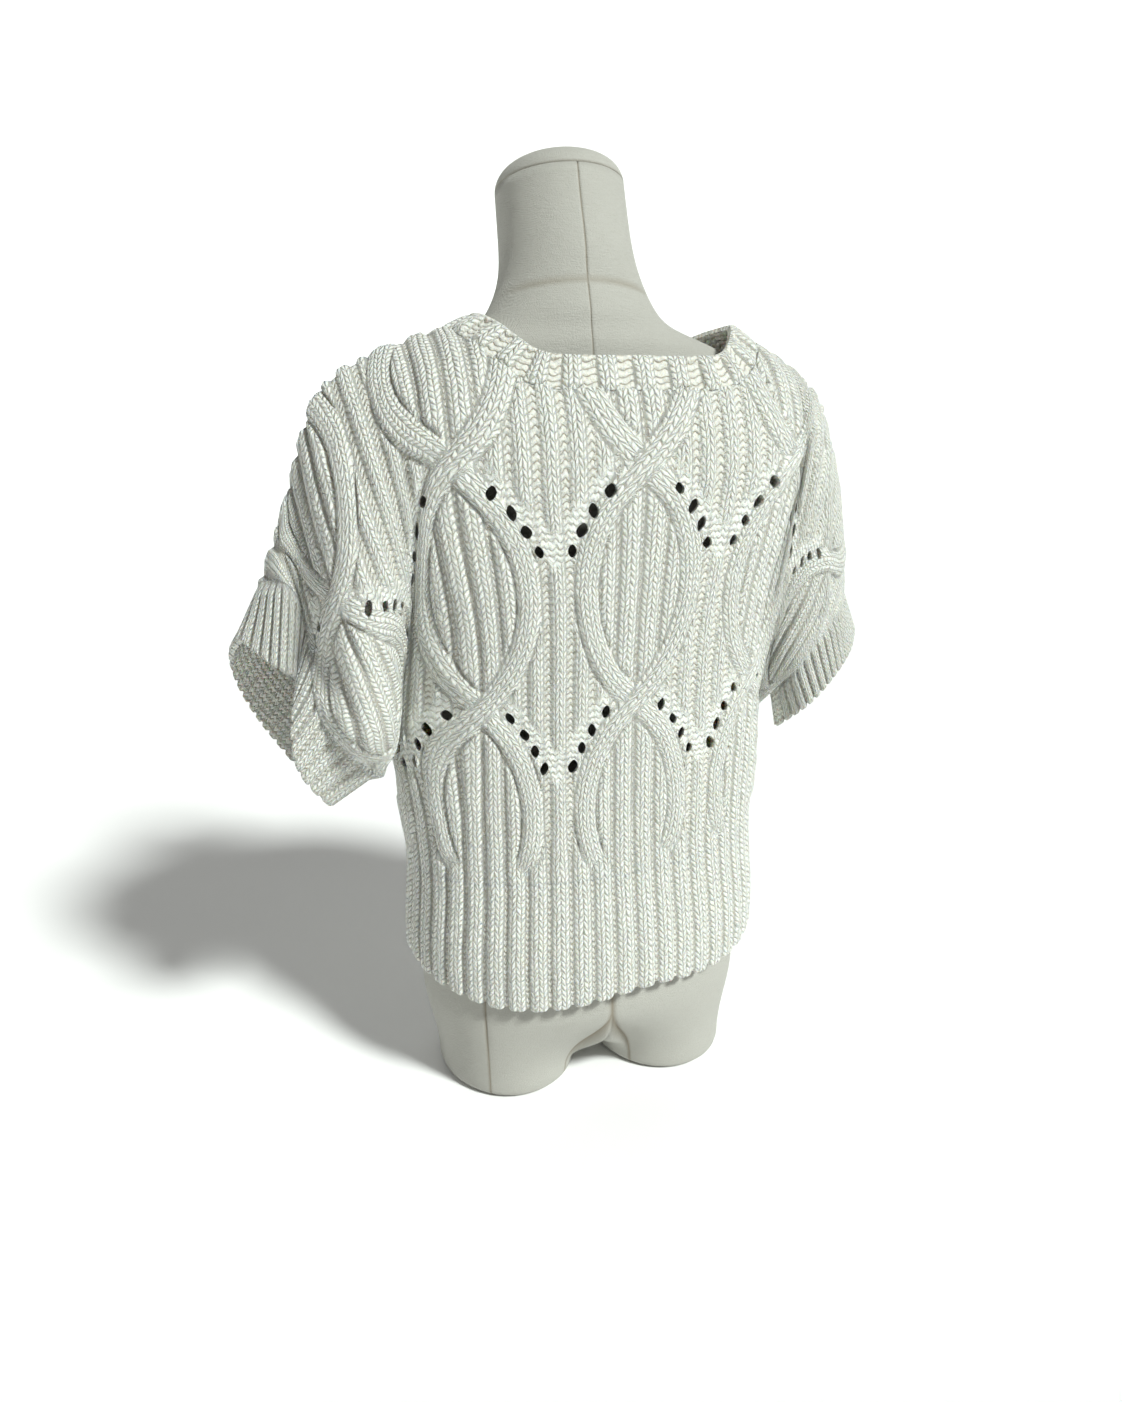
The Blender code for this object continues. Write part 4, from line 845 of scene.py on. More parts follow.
@dataclass
class Panel:
    """The back or front panel with its two cut-on sleeves, cut through at its eyelets."""

    face: Face
    lattice: Lattice
    stitches: Stitches = Stitches()
    wall: float = 2.2
    row_step: float = 2.8
    column_step: float = 1.9
    inner_every: int = 4                  # how many times coarser the inside is
    edge_step: float = 1.9
    edge_clear: float = 1.05              # no place is nearer than this to an edge
    edge_room: float = 8.7                # from an eyelet's middle to the panel's edge
    front_eyelet_reach: float = 200.0
    neck_steps: int = 220

    def grid(self, every: int) -> Array:
        """Flat places in rows, every other row shifted by half a step.

        Args:
            every: How many times wider the steps are than the fine skin's.

        Returns:
            Places x 2.
        """
        cut = self.lattice.drape.cut
        step, rise = self.column_step * every, self.row_step * every
        s, t = np.meshgrid(np.arange(-cut.sleeve_high, cut.sleeve_high, step),
                           np.arange(rise, cut.shoulder_t, rise))
        s = s + (np.arange(len(s)) % 2 * step / 2.0)[:, None]
        return np.stack([s.ravel(), t.ravel()], axis=1)

    def outline(self) -> Array:
        """The panel's cut edge as flat places, anticlockwise from the middle of the hem seam.

        Returns:
            Places x 2.
        """
        cut = self.lattice.drape.cut

        def run(a: tuple, b: tuple) -> Array:
            """Even places in a straight line, a + (b - a) f.

            Args:
                a: The first corner, which is in the run.
                b: The next corner, which isn't.

            Returns:
                Places x 2.
            """
            n = max(int(np.hypot(b[0] - a[0], b[1] - a[1]) / self.edge_step), 1)
            f = np.linspace(0.0, 1.0, n, endpoint=False)[:, None]
            return np.array(a) + (np.array(b) - np.array(a)) * f

        half = [(0.0, 0.0), (cut.half_width, 0.0), (cut.half_width, cut.underarm_t),
                (cut.sleeve_low, cut.underarm_t), (cut.sleeve_high, cut.shoulder_t),
                (cut.neck_half, cut.shoulder_t)]
        left = np.vstack([run(a, b) for a, b in zip(half[:-1], half[1:])])
        neck = np.stack(cut.neckline(self.face, self.neck_steps), axis=1)
        right = left[:0:-1] * (-1.0, 1.0)
        return np.vstack([left, neck, right])

    def eyelet_outlines(self) -> list[Array]:
        """The eyelets: rounded diamonds cos(a)^power, sin(a)^power, each leaning and a little uneven.

        Returns:
            One flat outline for each eyelet.
        """
        st, cut = self.stitches, self.lattice.drape.cut
        rng = np.random.default_rng(st.eyelet_seed)
        angle = np.arange(st.eyelet_corners) * 2.0 * np.pi / st.eyelet_corners
        a, b = (np.sign(f) * np.abs(f) ** st.eyelet_power * size / 2
                for f, size in zip((np.cos(angle), np.sin(angle)), st.eyelet_size))
        out = []
        for column, tip, (away, up), hand in product(st.eyelet_columns, st.eyelet_tips, st.eyelets,
                                                     (-1, 1)):
            s, t = column * st.leaf_repeat + hand * away, tip + up
            edge = cut.reach(t) if t > cut.underarm_t + self.edge_room else cut.half_width
            edge = edge if self.face is Face.BACK else self.front_eyelet_reach
            size = rng.uniform(*st.eyelet_spread, 2)
            lean = rng.uniform(-st.eyelet_lean, st.eyelet_lean)
            if abs(s) <= edge - self.edge_room:
                out.append(np.stack([s + (a + b * lean * hand) * size[0], t + b * size[1]], 1))
        return out

    @staticmethod
    def inside(places: Array, outline: Array) -> Array:
        """Whether places lie inside a closed outline, by counting crossings of a level ray.

        Args:
            places: Places x 2.
            outline: Corners x 2.

        Returns:
            True or false for each place.
        """
        x, y = places.T
        hit = np.zeros(len(x), bool)
        for (x0, y0), (x1, y1) in zip(outline, np.roll(outline, -1, axis=0)):
            rows = (y0 > y) != (y1 > y)
            if rows.any():
                hit[rows] ^= x[rows] < x0 + (y[rows] - y0) * (x1 - x0) / (y1 - y0)
        return hit

    @staticmethod
    def bowed(places: Array) -> Array:
        """Flat places moved by a hair, so that straight edges bow outwards: x (1 - bow y^2), y alike.

        Args:
            places: Places x 2.

        Returns:
            Places x 2 about the panel's middle.
        """
        bow, middle_t = 2e-8, 250.0
        x, y = places[:, 0], places[:, 1] - middle_t
        return np.stack([x * (1.0 - bow * y * y), y * (1.0 - bow * x * x)], axis=1)

    @staticmethod
    def clear_of(spots: Array, marks: Array, gap: float) -> Array:
        """Whether each place is more than a gap from every mark, looked up on a coarse grid first.

        Args:
            spots: Places x 2.
            marks: Marks x 2.
            gap: The least distance.

        Returns:
            True or false for each place.
        """
        size, block = 4.0, 64
        corner = np.minimum(spots.min(0), marks.min(0)) - size
        cell, mark_cell = (((p - corner) / size).astype(int) for p in (spots, marks))
        taken = np.zeros(np.maximum(cell.max(0), mark_cell.max(0)) + 2, bool)
        for i in (-1, 0, 1):
            for k in (-1, 0, 1):
                taken[mark_cell[:, 0] + i, mark_cell[:, 1] + k] = True
        near = np.flatnonzero(taken[cell[:, 0], cell[:, 1]])
        best = np.full(len(near), np.inf)
        for start in range(0, len(marks), block):
            away = spots[near][:, None] - marks[None, start:start + block]
            best = np.minimum(best, (away**2).sum(2).min(1))
        clear = np.ones(len(spots), bool)
        clear[near] = best > gap * gap
        return clear

    def outside_holes(self, places: Array, holes: list[Array]) -> Array:
        """Whether each place lies outside every eyelet.

        Args:
            places: Places x 2.
            holes: The eyelets' outlines.

        Returns:
            True or false for each place.
        """
        reach = 12.0
        good = np.ones(len(places), bool)
        for hole in holes:
            near = np.flatnonzero((np.abs(places - hole.mean(0)) < reach).all(1))
            good[near[self.inside(places[near], hole)]] = False
        return good

    def triangulate(self, every: int) -> tuple[Array, Array]:
        """The flat panel cut into triangles, with its edges and eyelets kept.

        Args:
            every: How many times wider the steps are than the fine skin's.

        Returns:
            Flat places, those on edges first, and triangles.
        """
        outline = self.outline()
        holes = self.eyelet_outlines()
        loops = [outline] + holes
        spots = self.grid(every)
        spots = spots[self.inside(spots, outline)]
        spots = spots[self.clear_of(spots, np.vstack(loops), self.edge_clear)]
        spots = spots[self.outside_holes(spots, holes)]
        edges, base = [], 0
        for loop in loops:
            now = base + np.arange(len(loop))
            edges += np.stack([now, np.roll(now, -1)], axis=1).tolist()
            base += len(loop)
        places = np.vstack(loops + [spots])
        same = 1e-7
        faces = np.array(delaunay_2d_cdt(self.bowed(places).tolist(), edges, [], 0, same)[2])
        centre = places[faces].mean(axis=1)
        return places, faces[self.inside(centre, outline) & self.outside_holes(centre, holes)]

    def build(self, name: str, material: bpy.types.Material) -> bpy.types.Object:
        """The panel's closed wall: the ribbed outside over a plain, coarser inside.

        Args:
            name: The piece's name.
            material: Its finish.

        Returns:
            The piece.
        """
        skins = []
        for every in (1, self.inner_every):
            places, faces = self.triangulate(every)
            s, t = places.T
            point, normal = self.lattice.read(s, t, self.face)
            knit = self.stitches.knit(s, t)
            outside = every == 1
            rise = knit.rise if outside else np.full(len(s), -self.wall)
            stitch = knit.stitch() * (1.0, 1.0, 1.0 if outside else 0.0)
            level = knit.level if outside else np.full(len(s), INSIDE_LEVEL)
            skins.append(Skin(point + normal * rise[:, None], normal, stitch, level,
                              oriented(point, faces, normal)))
        point, faces, values, rim = close_wall(*skins)
        return make_piece(name, point, faces, material, values, rim)


def wall_from_rows(rows: Array, normals: Array, knit: Knit, wall: float,
                   closed: bool) -> tuple[Array, Array, dict[str, Array], Array]:
    """A closed wall: outside at place + normal x rise, inside at place - normal x wall.

    Args:
        rows: Rows x columns x 3 places.
        normals: Their outward normals.
        knit: The knit at each place.
        wall: Thickness below the places.
        closed: Whether a row's last place joins its first.

    Returns:
        The wall's points, triangles and shading values, and its rim edges.
    """
    r, c = knit.rise.shape
    point, normal = rows.reshape(-1, 3), normals.reshape(-1, 3)
    faces = oriented(point, grid_faces(r, c, closed), normal)
    stitch = knit.stitch()
    outer = Skin(point + normal * knit.rise.reshape(-1, 1), normal, stitch, knit.level.ravel(), faces)
    inner = Skin(point - normal * wall, normal, stitch * (1.0, 1.0, 0.0), np.full(r * c, INSIDE_LEVEL),
                 faces)
    return close_wall(outer, inner)


def row_normals(rows: Array, outward: Array, closed: bool) -> Array:
    """Outward normals of rows of places: the cross product of the steps down and along the rows.

    Args:
        rows: Rows x columns x 3 places.
        outward: A rough outward direction for each.
        closed: Whether a row's last place joins its first.

    Returns:
        Unit normals.
    """
    down = np.gradient(rows, axis=0)
    if closed:
        along = np.roll(rows, -1, axis=1) - np.roll(rows, 1, axis=1)
    else:
        along = np.gradient(rows, axis=1)
    normal = unit(np.cross(unit(down), unit(along)))
    side = np.sign((normal * outward).sum(-1, keepdims=True))
    return normal * np.where(side == 0, 1.0, side)


@dataclass
class HemRib:
    """The deep ribbed hem of one panel, with a small round end on each rib."""

    face: Face
    lattice: Lattice
    stitches: Stitches = Stitches()
    per_rib: int = 16
    rows: int = 40
    wall: float = 3.0
    scallop: float = 3.4
    edge_round: float = 4.0
    row_power: float = 1.4                # above 1, the rows are closer towards the edge
    normal_fade: float = 0.2              # share of the depth over which the panel's normals fade
    side_lift: float = 30.0
    waves: tuple = ((11.0, -30.0, 55.0), (-5.0, 100.0, 50.0))     # height, place and width of each

    def edge_height(self, s: Array, x: Array) -> Array:
        """Height of the hem's edge: side_lift (s / half)^2, with two shallow bell-shaped waves.

        Args:
            s: Flat places sideways.
            x: Their x on the form.

        Returns:
            z of the edge.
        """
        drape = self.lattice.drape
        lift = self.side_lift * (s / drape.cut.half_width) ** 2 + drape.lean * x
        bells = sum(high * np.exp(-((x - middle) / wide) ** 2) for high, middle, wide in self.waves)
        return drape.hem_edge_z + lift + bells

    def build(self, name: str, material: bpy.types.Material) -> bpy.types.Object:
        """The hem from its seam, row 0, down to its scalloped edge, in rows over the body's rings.

        Args:
            name: The piece's name.
            material: Its finish.

        Returns:
            The piece.
        """
        drape = self.lattice.drape
        half = drape.cut.half_width
        count = int(round(2.0 * half / HEM_RIBS.pitch)) * self.per_rib + 1
        s = np.tile(np.linspace(-half, half, count), self.rows)
        share = np.repeat(1.0 - (1.0 - np.linspace(0.0, 1.0, self.rows)) ** self.row_power, count)
        arc = drape.arc(s, self.face)
        x, _ = drape.ring_point(arc, np.full(len(s), drape.hem_top_z))
        lean = drape.lean * x
        ribs = HEM_RIBS.across(s / HEM_RIBS.pitch, s)
        edge = self.edge_height(s, x) + self.scallop * (1.0 - ribs.rise / HEM_RIBS.rise) ** SCALLOP_POWER
        length = drape.hem_top_z + lean - edge
        x, y = drape.ring_point(arc, drape.hem_top_z - length * share)
        place = np.stack([x, y, drape.hem_top_z + lean - length * share], axis=1)
        rows = place.reshape(self.rows, count, 3)
        normals = row_normals(rows, rows * (1.0, 1.0, 0.0), False)
        seam_normal = self.lattice.read(s[:count], np.zeros(count), self.face)[1]
        for end in (0, -1):
            normals[:, end] = unit(seam_normal[end] * (1.0, 1.0, 0.0))
        fade = smooth(np.linspace(0.0, 1.0, self.rows) / self.normal_fade)[:, None, None]
        normals = unit(seam_normal * (1.0 - fade) + normals * fade)
        knit = self.stitches.knit(s, -length * share)
        tip = rib_end(length * (1.0 - share) / self.edge_round)
        knit.rise = (np.clip(knit.rise, 0.0, None) * tip).reshape(self.rows, count)
        point, faces, values, rim = wall_from_rows(rows, normals, knit, self.wall, False)
        return make_piece(name, point, faces, material, values, rim)


@dataclass
class Cuff:
    """The ribbed cuff of one sleeve: a flaring ring of ribs from the sleeve's end to the open edge."""

    side: int
    lattice: Lattice
    stitches: Stitches = Stitches()
    ribs_per_face: int = 17
    per_rib: int = 14
    rows: int = 26
    rise: float = 3.9
    wall: float = 3.0
    scallop: float = 2.6
    edge_round: float = 4.0
    normal_fade: float = 0.3              # share of the depth over which the sleeve's normals fade
    seam_fade: float = 0.18               # the same for the sleeve's relief
    seam_share: float = 0.8               # how much of that relief is left at the seam

    def build(self, name: str, material: bpy.types.Material) -> bpy.types.Object:
        """The ring of ribs, up the back from the underarm and down the front.

        Each row is start + (end - start) x share, from the sleeve's end to the open edge.

        Args:
            name: The piece's name.
            material: Its finish.

        Returns:
            The piece.
        """
        cut = self.lattice.drape.cut
        steps = self.ribs_per_face * self.per_rib
        heights = np.linspace(cut.underarm_t, cut.shoulder_t, steps + 1)
        t = np.concatenate([heights, heights[-2:0:-1]])
        on_back = np.arange(len(t)) <= steps
        start, end, normal = (np.zeros((len(t), 3)) for _ in range(3))
        for face, here in ((Face.BACK, on_back), (Face.FRONT, ~on_back)):
            start[here], normal[here] = self.lattice.read(self.side * cut.reach(t[here]), t[here], face)
            table = np.array(CUFF_EDGES[self.side, face], float)
            end[here] = spline(SLEEVE_LEVELS, np.repeat(table[:, None], here.sum(), 1), t[here])
        length = np.linalg.norm(end - start, axis=1)
        ribs = Ribbing(pitch=(cut.shoulder_t - cut.underarm_t) / self.ribs_per_face, rise=self.rise)
        turn = np.arange(len(t)) / self.per_rib
        plain = ribs.across(turn, turn)
        tuck = self.scallop * (1.0 - plain.rise / ribs.rise) ** SCALLOP_POWER / length
        part = np.linspace(0.0, 1.0, self.rows)[:, None]
        share = part * (1.0 - tuck)
        rows = start + (end - start) * share[..., None]
        own = row_normals(rows, np.broadcast_to(normal, rows.shape), True)
        fade = smooth(part / self.normal_fade)[..., None]
        normals = unit(normal * (1.0 - fade) + own * fade)
        knit = ribs.across(np.broadcast_to(turn, rows.shape[:2]), -share * length / self.stitches.course)
        seam = np.clip(self.stitches.knit(self.side * cut.reach(t), t).rise, 0.0, None)
        near_seam = 1.0 - smooth(part / self.seam_fade)
        tip = rib_end((1.0 - part) * length / self.edge_round)
        knit.rise = (knit.rise * (1.0 - near_seam) + seam * near_seam * self.seam_share) * tip
        point, faces, values, rim = wall_from_rows(rows, normals, knit, self.wall, True)
        return make_piece(name, point, faces, material, values, rim)


@dataclass
class Neckband:
    """The ribbed neckband: one ring with a rounded free edge."""

    lattice: Lattice
    stitches: Stitches = Stitches()
    count: int = 330                      # places along each panel's neckline
    rows: int = 16
    depth: float = 29.0
    stand: float = 7.0                    # how far the free edge stands off where the cloth lies flat
    rib_pitch: float = 30.0
    rise: float = 4.8
    groove: float = 0.42
    edge_rise: float = 3.0
    edge_from: float = 0.72               # share of the depth at which the edge's ridge starts
    edge_over: float = 0.2
    roll_power: int = 5
    least_share: float = 0.15             # of the rise, right at the rolled edge
    least_rise: float = 0.8
    normal_fade: float = 0.4
    wall: float = 3.0

    def build(self, name: str, material: bpy.types.Material) -> bpy.types.Object:
        """The ring from the necklines of both panels inwards: seam + (up x depth + stand) x f.

        Args:
            name: The piece's name.
            material: Its finish.

        Returns:
            The piece.
        """
        points, normals = [], []
        for face in Face:
            s, t = self.lattice.drape.cut.neckline(face, self.count + 1)
            point, normal = self.lattice.read(s, t, face)
            if face is Face.FRONT:
                point, normal = point[::-1], normal[::-1]
            points.append(point[:-1])
            normals.append(normal[:-1])
        point, normal = np.vstack(points), np.vstack(normals)
        near, reach = 9, 30
        normal = unit(sum(np.roll(normal, k, axis=0) for k in range(-near, near + 1)))
        along = unit(np.roll(point, -2, axis=0) - np.roll(point, 2, axis=0))
        up = unit(np.cross(normal, along))
        up *= np.where(((point.mean(axis=0) - point) * up).sum(1, keepdims=True) < 0, -1.0, 1.0)
        up = unit(sum(np.roll(up, k, axis=0) * (reach + 1 - abs(k)) for k in range(-reach, reach + 1)))
        run = np.concatenate([[0.0], np.linalg.norm(np.diff(point, axis=0), axis=1).cumsum()])
        total = run[-1] + np.linalg.norm(point[0] - point[-1])
        ribs = Ribbing(total / round(total / self.rib_pitch), rise=self.rise, groove=self.groove)
        f = np.linspace(0.0, 1.0, self.rows)[:, None]
        stand = normal * np.clip(normal[:, 2:], 0.0, 1.0) ** 2 * self.stand
        rows = point + (up * self.depth + stand) * f[..., None]
        own = row_normals(rows, np.broadcast_to(normal, rows.shape), True)
        share = smooth(f / self.normal_fade)[..., None]
        frames = unit(normal * (1.0 - share) + own * share)
        knit = ribs.across(np.broadcast_to(run / ribs.pitch, rows.shape[:2]),
                           f * self.depth / self.stitches.course + 0.0 * run)
        rolled = np.sqrt(np.clip(1.0 - f**self.roll_power, 0.0, 1.0))
        brim = self.edge_rise * smooth((f - self.edge_from) / self.edge_over)
        ramp = (self.least_share + (1.0 - self.least_share) * rolled) * smooth((f + 0.1) / 0.3)
        knit.rise = self.least_rise + np.maximum(knit.rise, brim) * ramp
        point, faces, values, rim = wall_from_rows(rows, frames, knit, self.wall, True)
        return make_piece(name, point, faces, material, values, rim)


# ---- Dress form ---------------------------------------------------------------------------------
@dataclass
class DressForm:
    """The padded form: torso and long neck as one stretched linen cover, and the neck's domed disc."""

    half_sides: int = 70
    steps_between: int = 5
    arch_steps: int = 26
    stub_rings: int = 12
    foot_bends: tuple = (30.0, 60.0, 90.0)
    crotch_z: float = 30.0
    crotch_centre_y: float = 7.0
    stub_x: float = 82.0
    stub_half_width: float = 70.0
    stub_half_depth: float = 88.0
    foot_round: float = 9.0
    cap_rise: float = 20.0
    cap_gap: float = 0.05
    cap_seam_level: float = 0.35
    collar_z: float = 728.0
    collar_slope: float = 0.22
    collar_share: float = 0.6                  # depth of the collar seam against the upright ones
    seam_depth: float = 1.2
    collar_half: float = 1.3
    arch_power: float = 0.45
    stub_power: float = 0.8
    cap_turn: float = 0.94                     # how far up the quarter round the last ring lies
    cap_rings: int = 14
    seam_spots: tuple = (0.0, 180.0)           # degrees from the centre back
    seam_steps: tuple = (-1.1, -0.55, 0.0, 0.55, 1.1)
    least_step: float = 0.3
    side_seams: tuple = (44.5, -75.0)          # the same, below side_seam_z only
    side_seam_z: float = 420.0
    # centre y, centre z, forward tilt in degrees, half width, back, front, squareness
    sections: tuple = (
        (-35.0, 812.7, 12.65, 54.4, 57.0, 57.0, 2.0),
        (-24.0, 780.0, 14.0, 55.5, 57.0, 57.0, 2.0),
        (-13.0, 748.0, 16.0, 59.0, 58.0, 58.0, 2.0),
        (-5.0, 724.0, 16.0, 69.0, 55.0, 60.0, 1.9),
        (0.0, 709.6, 12.0, 80.5, 56.0, 62.0, 1.75),
        (4.0, 699.0, 8.0, 104.0, 54.0, 64.0, 1.6),
        (8.0, 690.0, 5.0, 128.0, 53.0, 68.0, 1.6),
        (9.0, 680.0, 4.0, 150.0, 54.0, 74.0, 1.65),
        (9.0, 666.0, 3.0, 175.0, 60.0, 82.0, 1.75),
        (7.0, 650.0, 2.0, 191.0, 69.0, 92.0, 1.75),
        (4.0, 628.0, 0.0, 199.0, 80.0, 104.0, 1.8),
        (2.0, 598.0, 0.0, 190.0, 87.0, 115.0, 1.85),
        (0.0, 560.0, 0.0, 173.0, 90.0, 122.0, 1.9),
        (0.0, 515.0, 0.0, 154.0, 89.0, 122.0, 2.0),
        (0.0, 455.0, 0.0, 137.0, 83.0, 106.0, 2.0),
        (0.0, 390.0, 0.0, 128.0, 79.0, 92.0, 2.0),
        (1.0, 310.0, 0.0, 137.0, 88.0, 94.0, 2.05),
        (4.0, 230.0, 0.0, 152.0, 102.0, 102.0, 2.15),
        (6.0, 160.0, 0.0, 161.0, 112.0, 107.0, 2.2),
        (7.0, 100.0, 0.0, 164.0, 115.0, 110.0, 2.2),
    )

    def angles(self) -> Array:
        """Angles round a section, even but for four more close beside each sewn seam.

        Returns:
            Angles in radians from the centre front, the same on both sides.
        """
        even = np.linspace(0.0, 180.0, self.half_sides + 1)
        spots = np.abs(self.seam_spots + self.side_seams)
        beside = [spots + d for d in self.seam_steps]
        half = np.unique(np.concatenate([180.0 - even] + [180.0 - b for b in beside]).round(3))
        half = half[(half >= 0.0) & (half <= 180.0)]
        half = half[np.concatenate([[True], np.diff(half) > self.least_step])]
        return np.radians(np.concatenate([half, 360.0 - half[-2:0:-1]])) - np.pi / 2.0

    def rings(self, angle: Array) -> Array:
        """Superellipses x = half cos^(2/power), y = depth sin^(2/power), tilted forward.

        Args:
            angle: Angles round a section.

        Returns:
            Sections x sides x 3, smoothed between the given sections.
        """
        table = np.array(self.sections)
        knots = np.concatenate([[0.0], np.hypot(np.diff(table[:, 1]), np.diff(table[:, 3])).cumsum()])
        at = np.concatenate([np.linspace(a, b, self.steps_between, endpoint=False)
                             for a, b in zip(knots[:-1], knots[1:])] + [[knots[-1]]])
        rows = spline(knots, np.repeat(table[:, None], len(at), axis=1), at)
        y0, z0, tilt, half, back, front, power = (rows[:, k:k + 1] for k in range(7))
        c, d = np.cos(angle)[None], np.sin(angle)[None]
        x = half * np.sign(c) * np.abs(c) ** (2.0 / power)
        y = np.where(d > 0, back, front) * np.sign(d) * np.abs(d) ** (2.0 / power)
        tilt = np.radians(tilt)
        return np.stack([x, y0 + y * np.cos(tilt), z0 + y * np.sin(tilt)], axis=2)

    def seam_share(self, angle: Array, z: Array) -> Array:
        """How near each place is to an upright seam: a bell exp(-d^2) at each seam's angle.

        Args:
            angle: Angles round a section.
            z: Heights, sections x sides.

        Returns:
            Numbers from 0 to 1.
        """
        half_seam, fade = 0.6, 40.0
        turn = np.degrees((np.pi * 1.5 - angle) % (2.0 * np.pi) - np.pi)
        long, side = (sum(np.exp(-((((turn - spot + 180.0) % 360.0 - 180.0) / half_seam) ** 2))
                          for spot in spots)
                      for spots in (self.seam_spots, self.side_seams))
        return long + side * smooth((self.side_seam_z - z) / fade)

    def build_cover(self, name: str, material: bpy.types.Material) -> bpy.types.Object:
        """Torso and neck, parted below into two flat-footed stubs, closed on top under the disc.

        The arch between the stubs is z = top - drop sin(pi f)^power; a stub's rings go from the torso's
        last section and the arch to an ellipse, and round over into the flat foot.

        Args:
            name: The piece's name.
            material: Its finish.

        Returns:
            The piece.
        """
        angle = self.angles()
        rings = self.rings(angle)
        count = len(angle)
        middle = rings.mean(axis=1, keepdims=True)
        outward = unit((rings - middle) * (1.0, 1.0, 0.0))
        collar = np.abs(rings[:, :, 2] - (self.collar_z + self.collar_slope * rings[:, :, 1]))
        collar = self.collar_share * np.exp(-((collar / self.collar_half) ** 2))
        seam = np.maximum(self.seam_share(angle, rings[:, :, 2]), collar)
        rings = rings - outward * (self.seam_depth * seam)[..., None]
        verts = rings.reshape(-1, 3)
        faces = [grid_faces(len(rings), count, closed=True)[:, ::-1]]
        top = len(verts)
        verts = np.vstack([verts, rings[0].mean(axis=0)[None]])
        k = np.arange(count)
        faces.append(np.stack([k, (k + 1) % count, np.full(count, top)], axis=1))
        half = int(np.argmin(np.abs(angle - np.pi / 2.0)))
        base = (len(rings) - 1) * count
        front, back = rings[-1, 0], rings[-1, half]
        f = np.linspace(0.0, 1.0, self.arch_steps)[1:-1]
        arch = front + (back - front) * f[:, None]
        arch[:, 0] = 0.0
        arch[:, 2] = front[2] - (front[2] - self.crotch_z) * np.sin(np.pi * f) ** self.arch_power
        arch_ids = np.arange(len(verts), len(verts) + len(arch))
        verts = np.vstack([verts, arch])
        left = np.concatenate([base + np.arange(half + 1), arch_ids[::-1]])
        right = np.concatenate([base + np.arange(half, count), [base], arch_ids])
        level = [1.0 - seam.ravel(), np.ones(1 + len(arch))]
        for side, loop in ((1.0, left), (-1.0, right)):
            points = verts[loop]
            loop_level = np.concatenate(level[:2])[loop]
            centre = np.array([side * self.stub_x, self.crotch_centre_y])
            turn = np.arctan2((points[:, 1] - centre[1]) / self.stub_half_depth,
                              (points[:, 0] - centre[0]) / self.stub_half_width)
            foot = np.stack([centre[0] + self.stub_half_width * np.cos(turn),
                             centre[1] + self.stub_half_depth * np.sin(turn), 0.0 * turn], axis=1)
            ways = np.stack([np.cos(turn), np.sin(turn), 0.0 * turn], axis=1)
            previous = loop
            for share in np.linspace(0.0, 1.0, self.stub_rings + 1)[1:]:
                ring = points + (foot - points) * smooth(share) ** self.stub_power
                ring[:, 2] = points[:, 2] * (1.0 - share) + self.foot_round * smooth(share * 1.2)
                verts, previous = self.next_ring(verts, faces, previous, ring)
                level.append(loop_level)
            for bend in np.radians(self.foot_bends):
                ring = foot - ways * self.foot_round * (1.0 - np.cos(bend))
                ring[:, 2] = self.foot_round * (1.0 - np.sin(bend))
                verts, previous = self.next_ring(verts, faces, previous, ring)
                level.append(loop_level)
            hub = len(verts)
            verts = np.vstack([verts, [[centre[0], centre[1], 0.0]]])
            level.append(np.ones(1))
            faces.append(np.stack([previous, np.full(len(previous), hub), np.roll(previous, -1)], axis=1))
        return make_piece(name, verts, np.vstack(faces), material, {"level": np.concatenate(level)})

    @staticmethod
    def next_ring(verts: Array, faces: list, previous: Array, ring: Array) -> tuple[Array, Array]:
        """Adds one closed ring below the previous one and the band of triangles between them.

        Args:
            verts: All points so far.
            faces: Blocks of triangles so far, to which the band is added.
            previous: Point numbers of the ring above.
            ring: The new ring's places.

        Returns:
            All points with the new ring, and the new ring's point numbers.
        """
        now = np.arange(len(verts), len(verts) + len(ring))
        a, b, d, e = previous, np.roll(previous, -1), now, np.roll(now, -1)
        faces.append(np.vstack([np.stack([a, d, e], 1), np.stack([a, e, b], 1)]))
        return np.vstack([verts, ring]), now

    def build_cap(self, name: str, material: bpy.types.Material) -> bpy.types.Object:
        """The domed disc on the neck: rings of radius x cos(a)^(1/2) at the height rise x sin(a).

        Args:
            name: The piece's name.
            material: Its finish.

        Returns:
            The piece.
        """
        angle = self.angles()
        tilt = np.radians(self.sections[0][2])
        up = np.array([0.0, -np.sin(tilt), np.cos(tilt)])
        ring = self.rings(angle)[0] + up * self.cap_gap
        centre = ring.mean(axis=0)
        turns = np.linspace(0.0, self.cap_turn, self.cap_rings) * np.pi / 2.0
        rings = [centre + (ring - centre) * (np.cos(a) ** 0.5) + up * self.cap_rise * np.sin(a)
                 for a in turns]
        count = len(angle)
        verts = np.vstack(rings + [centre[None] + up * self.cap_rise, centre[None]])
        top, under = len(verts) - 2, len(verts) - 1
        k = np.arange(count)
        last = (len(rings) - 1) * count + k
        faces = np.vstack([grid_faces(len(rings), count, closed=True),
                           np.stack([last, np.roll(last, -1), np.full(count, top)], axis=1),
                           np.stack([np.roll(k, -1), k, np.full(count, under)], axis=1)])
        level = np.ones(len(verts))
        level[:count] = self.cap_seam_level
        return make_piece(name, verts, faces, material, {"level": level})


# ---- Finishes -----------------------------------------------------------------------------------
def operator(operation: str, swap: bool = False) -> Callable:
    """Makes the method behind one arithmetic sign.

    Args:
        operation: The Math node's operation.
        swap: Whether the other value comes first.

    Returns:
        A method of two values that adds a Math node.
    """
    def method(self: "Value", other: "Value | float") -> "Value":
        """This value and the other, put through a Math node."""
        return self.maths(operation, other, swap=swap)

    return method


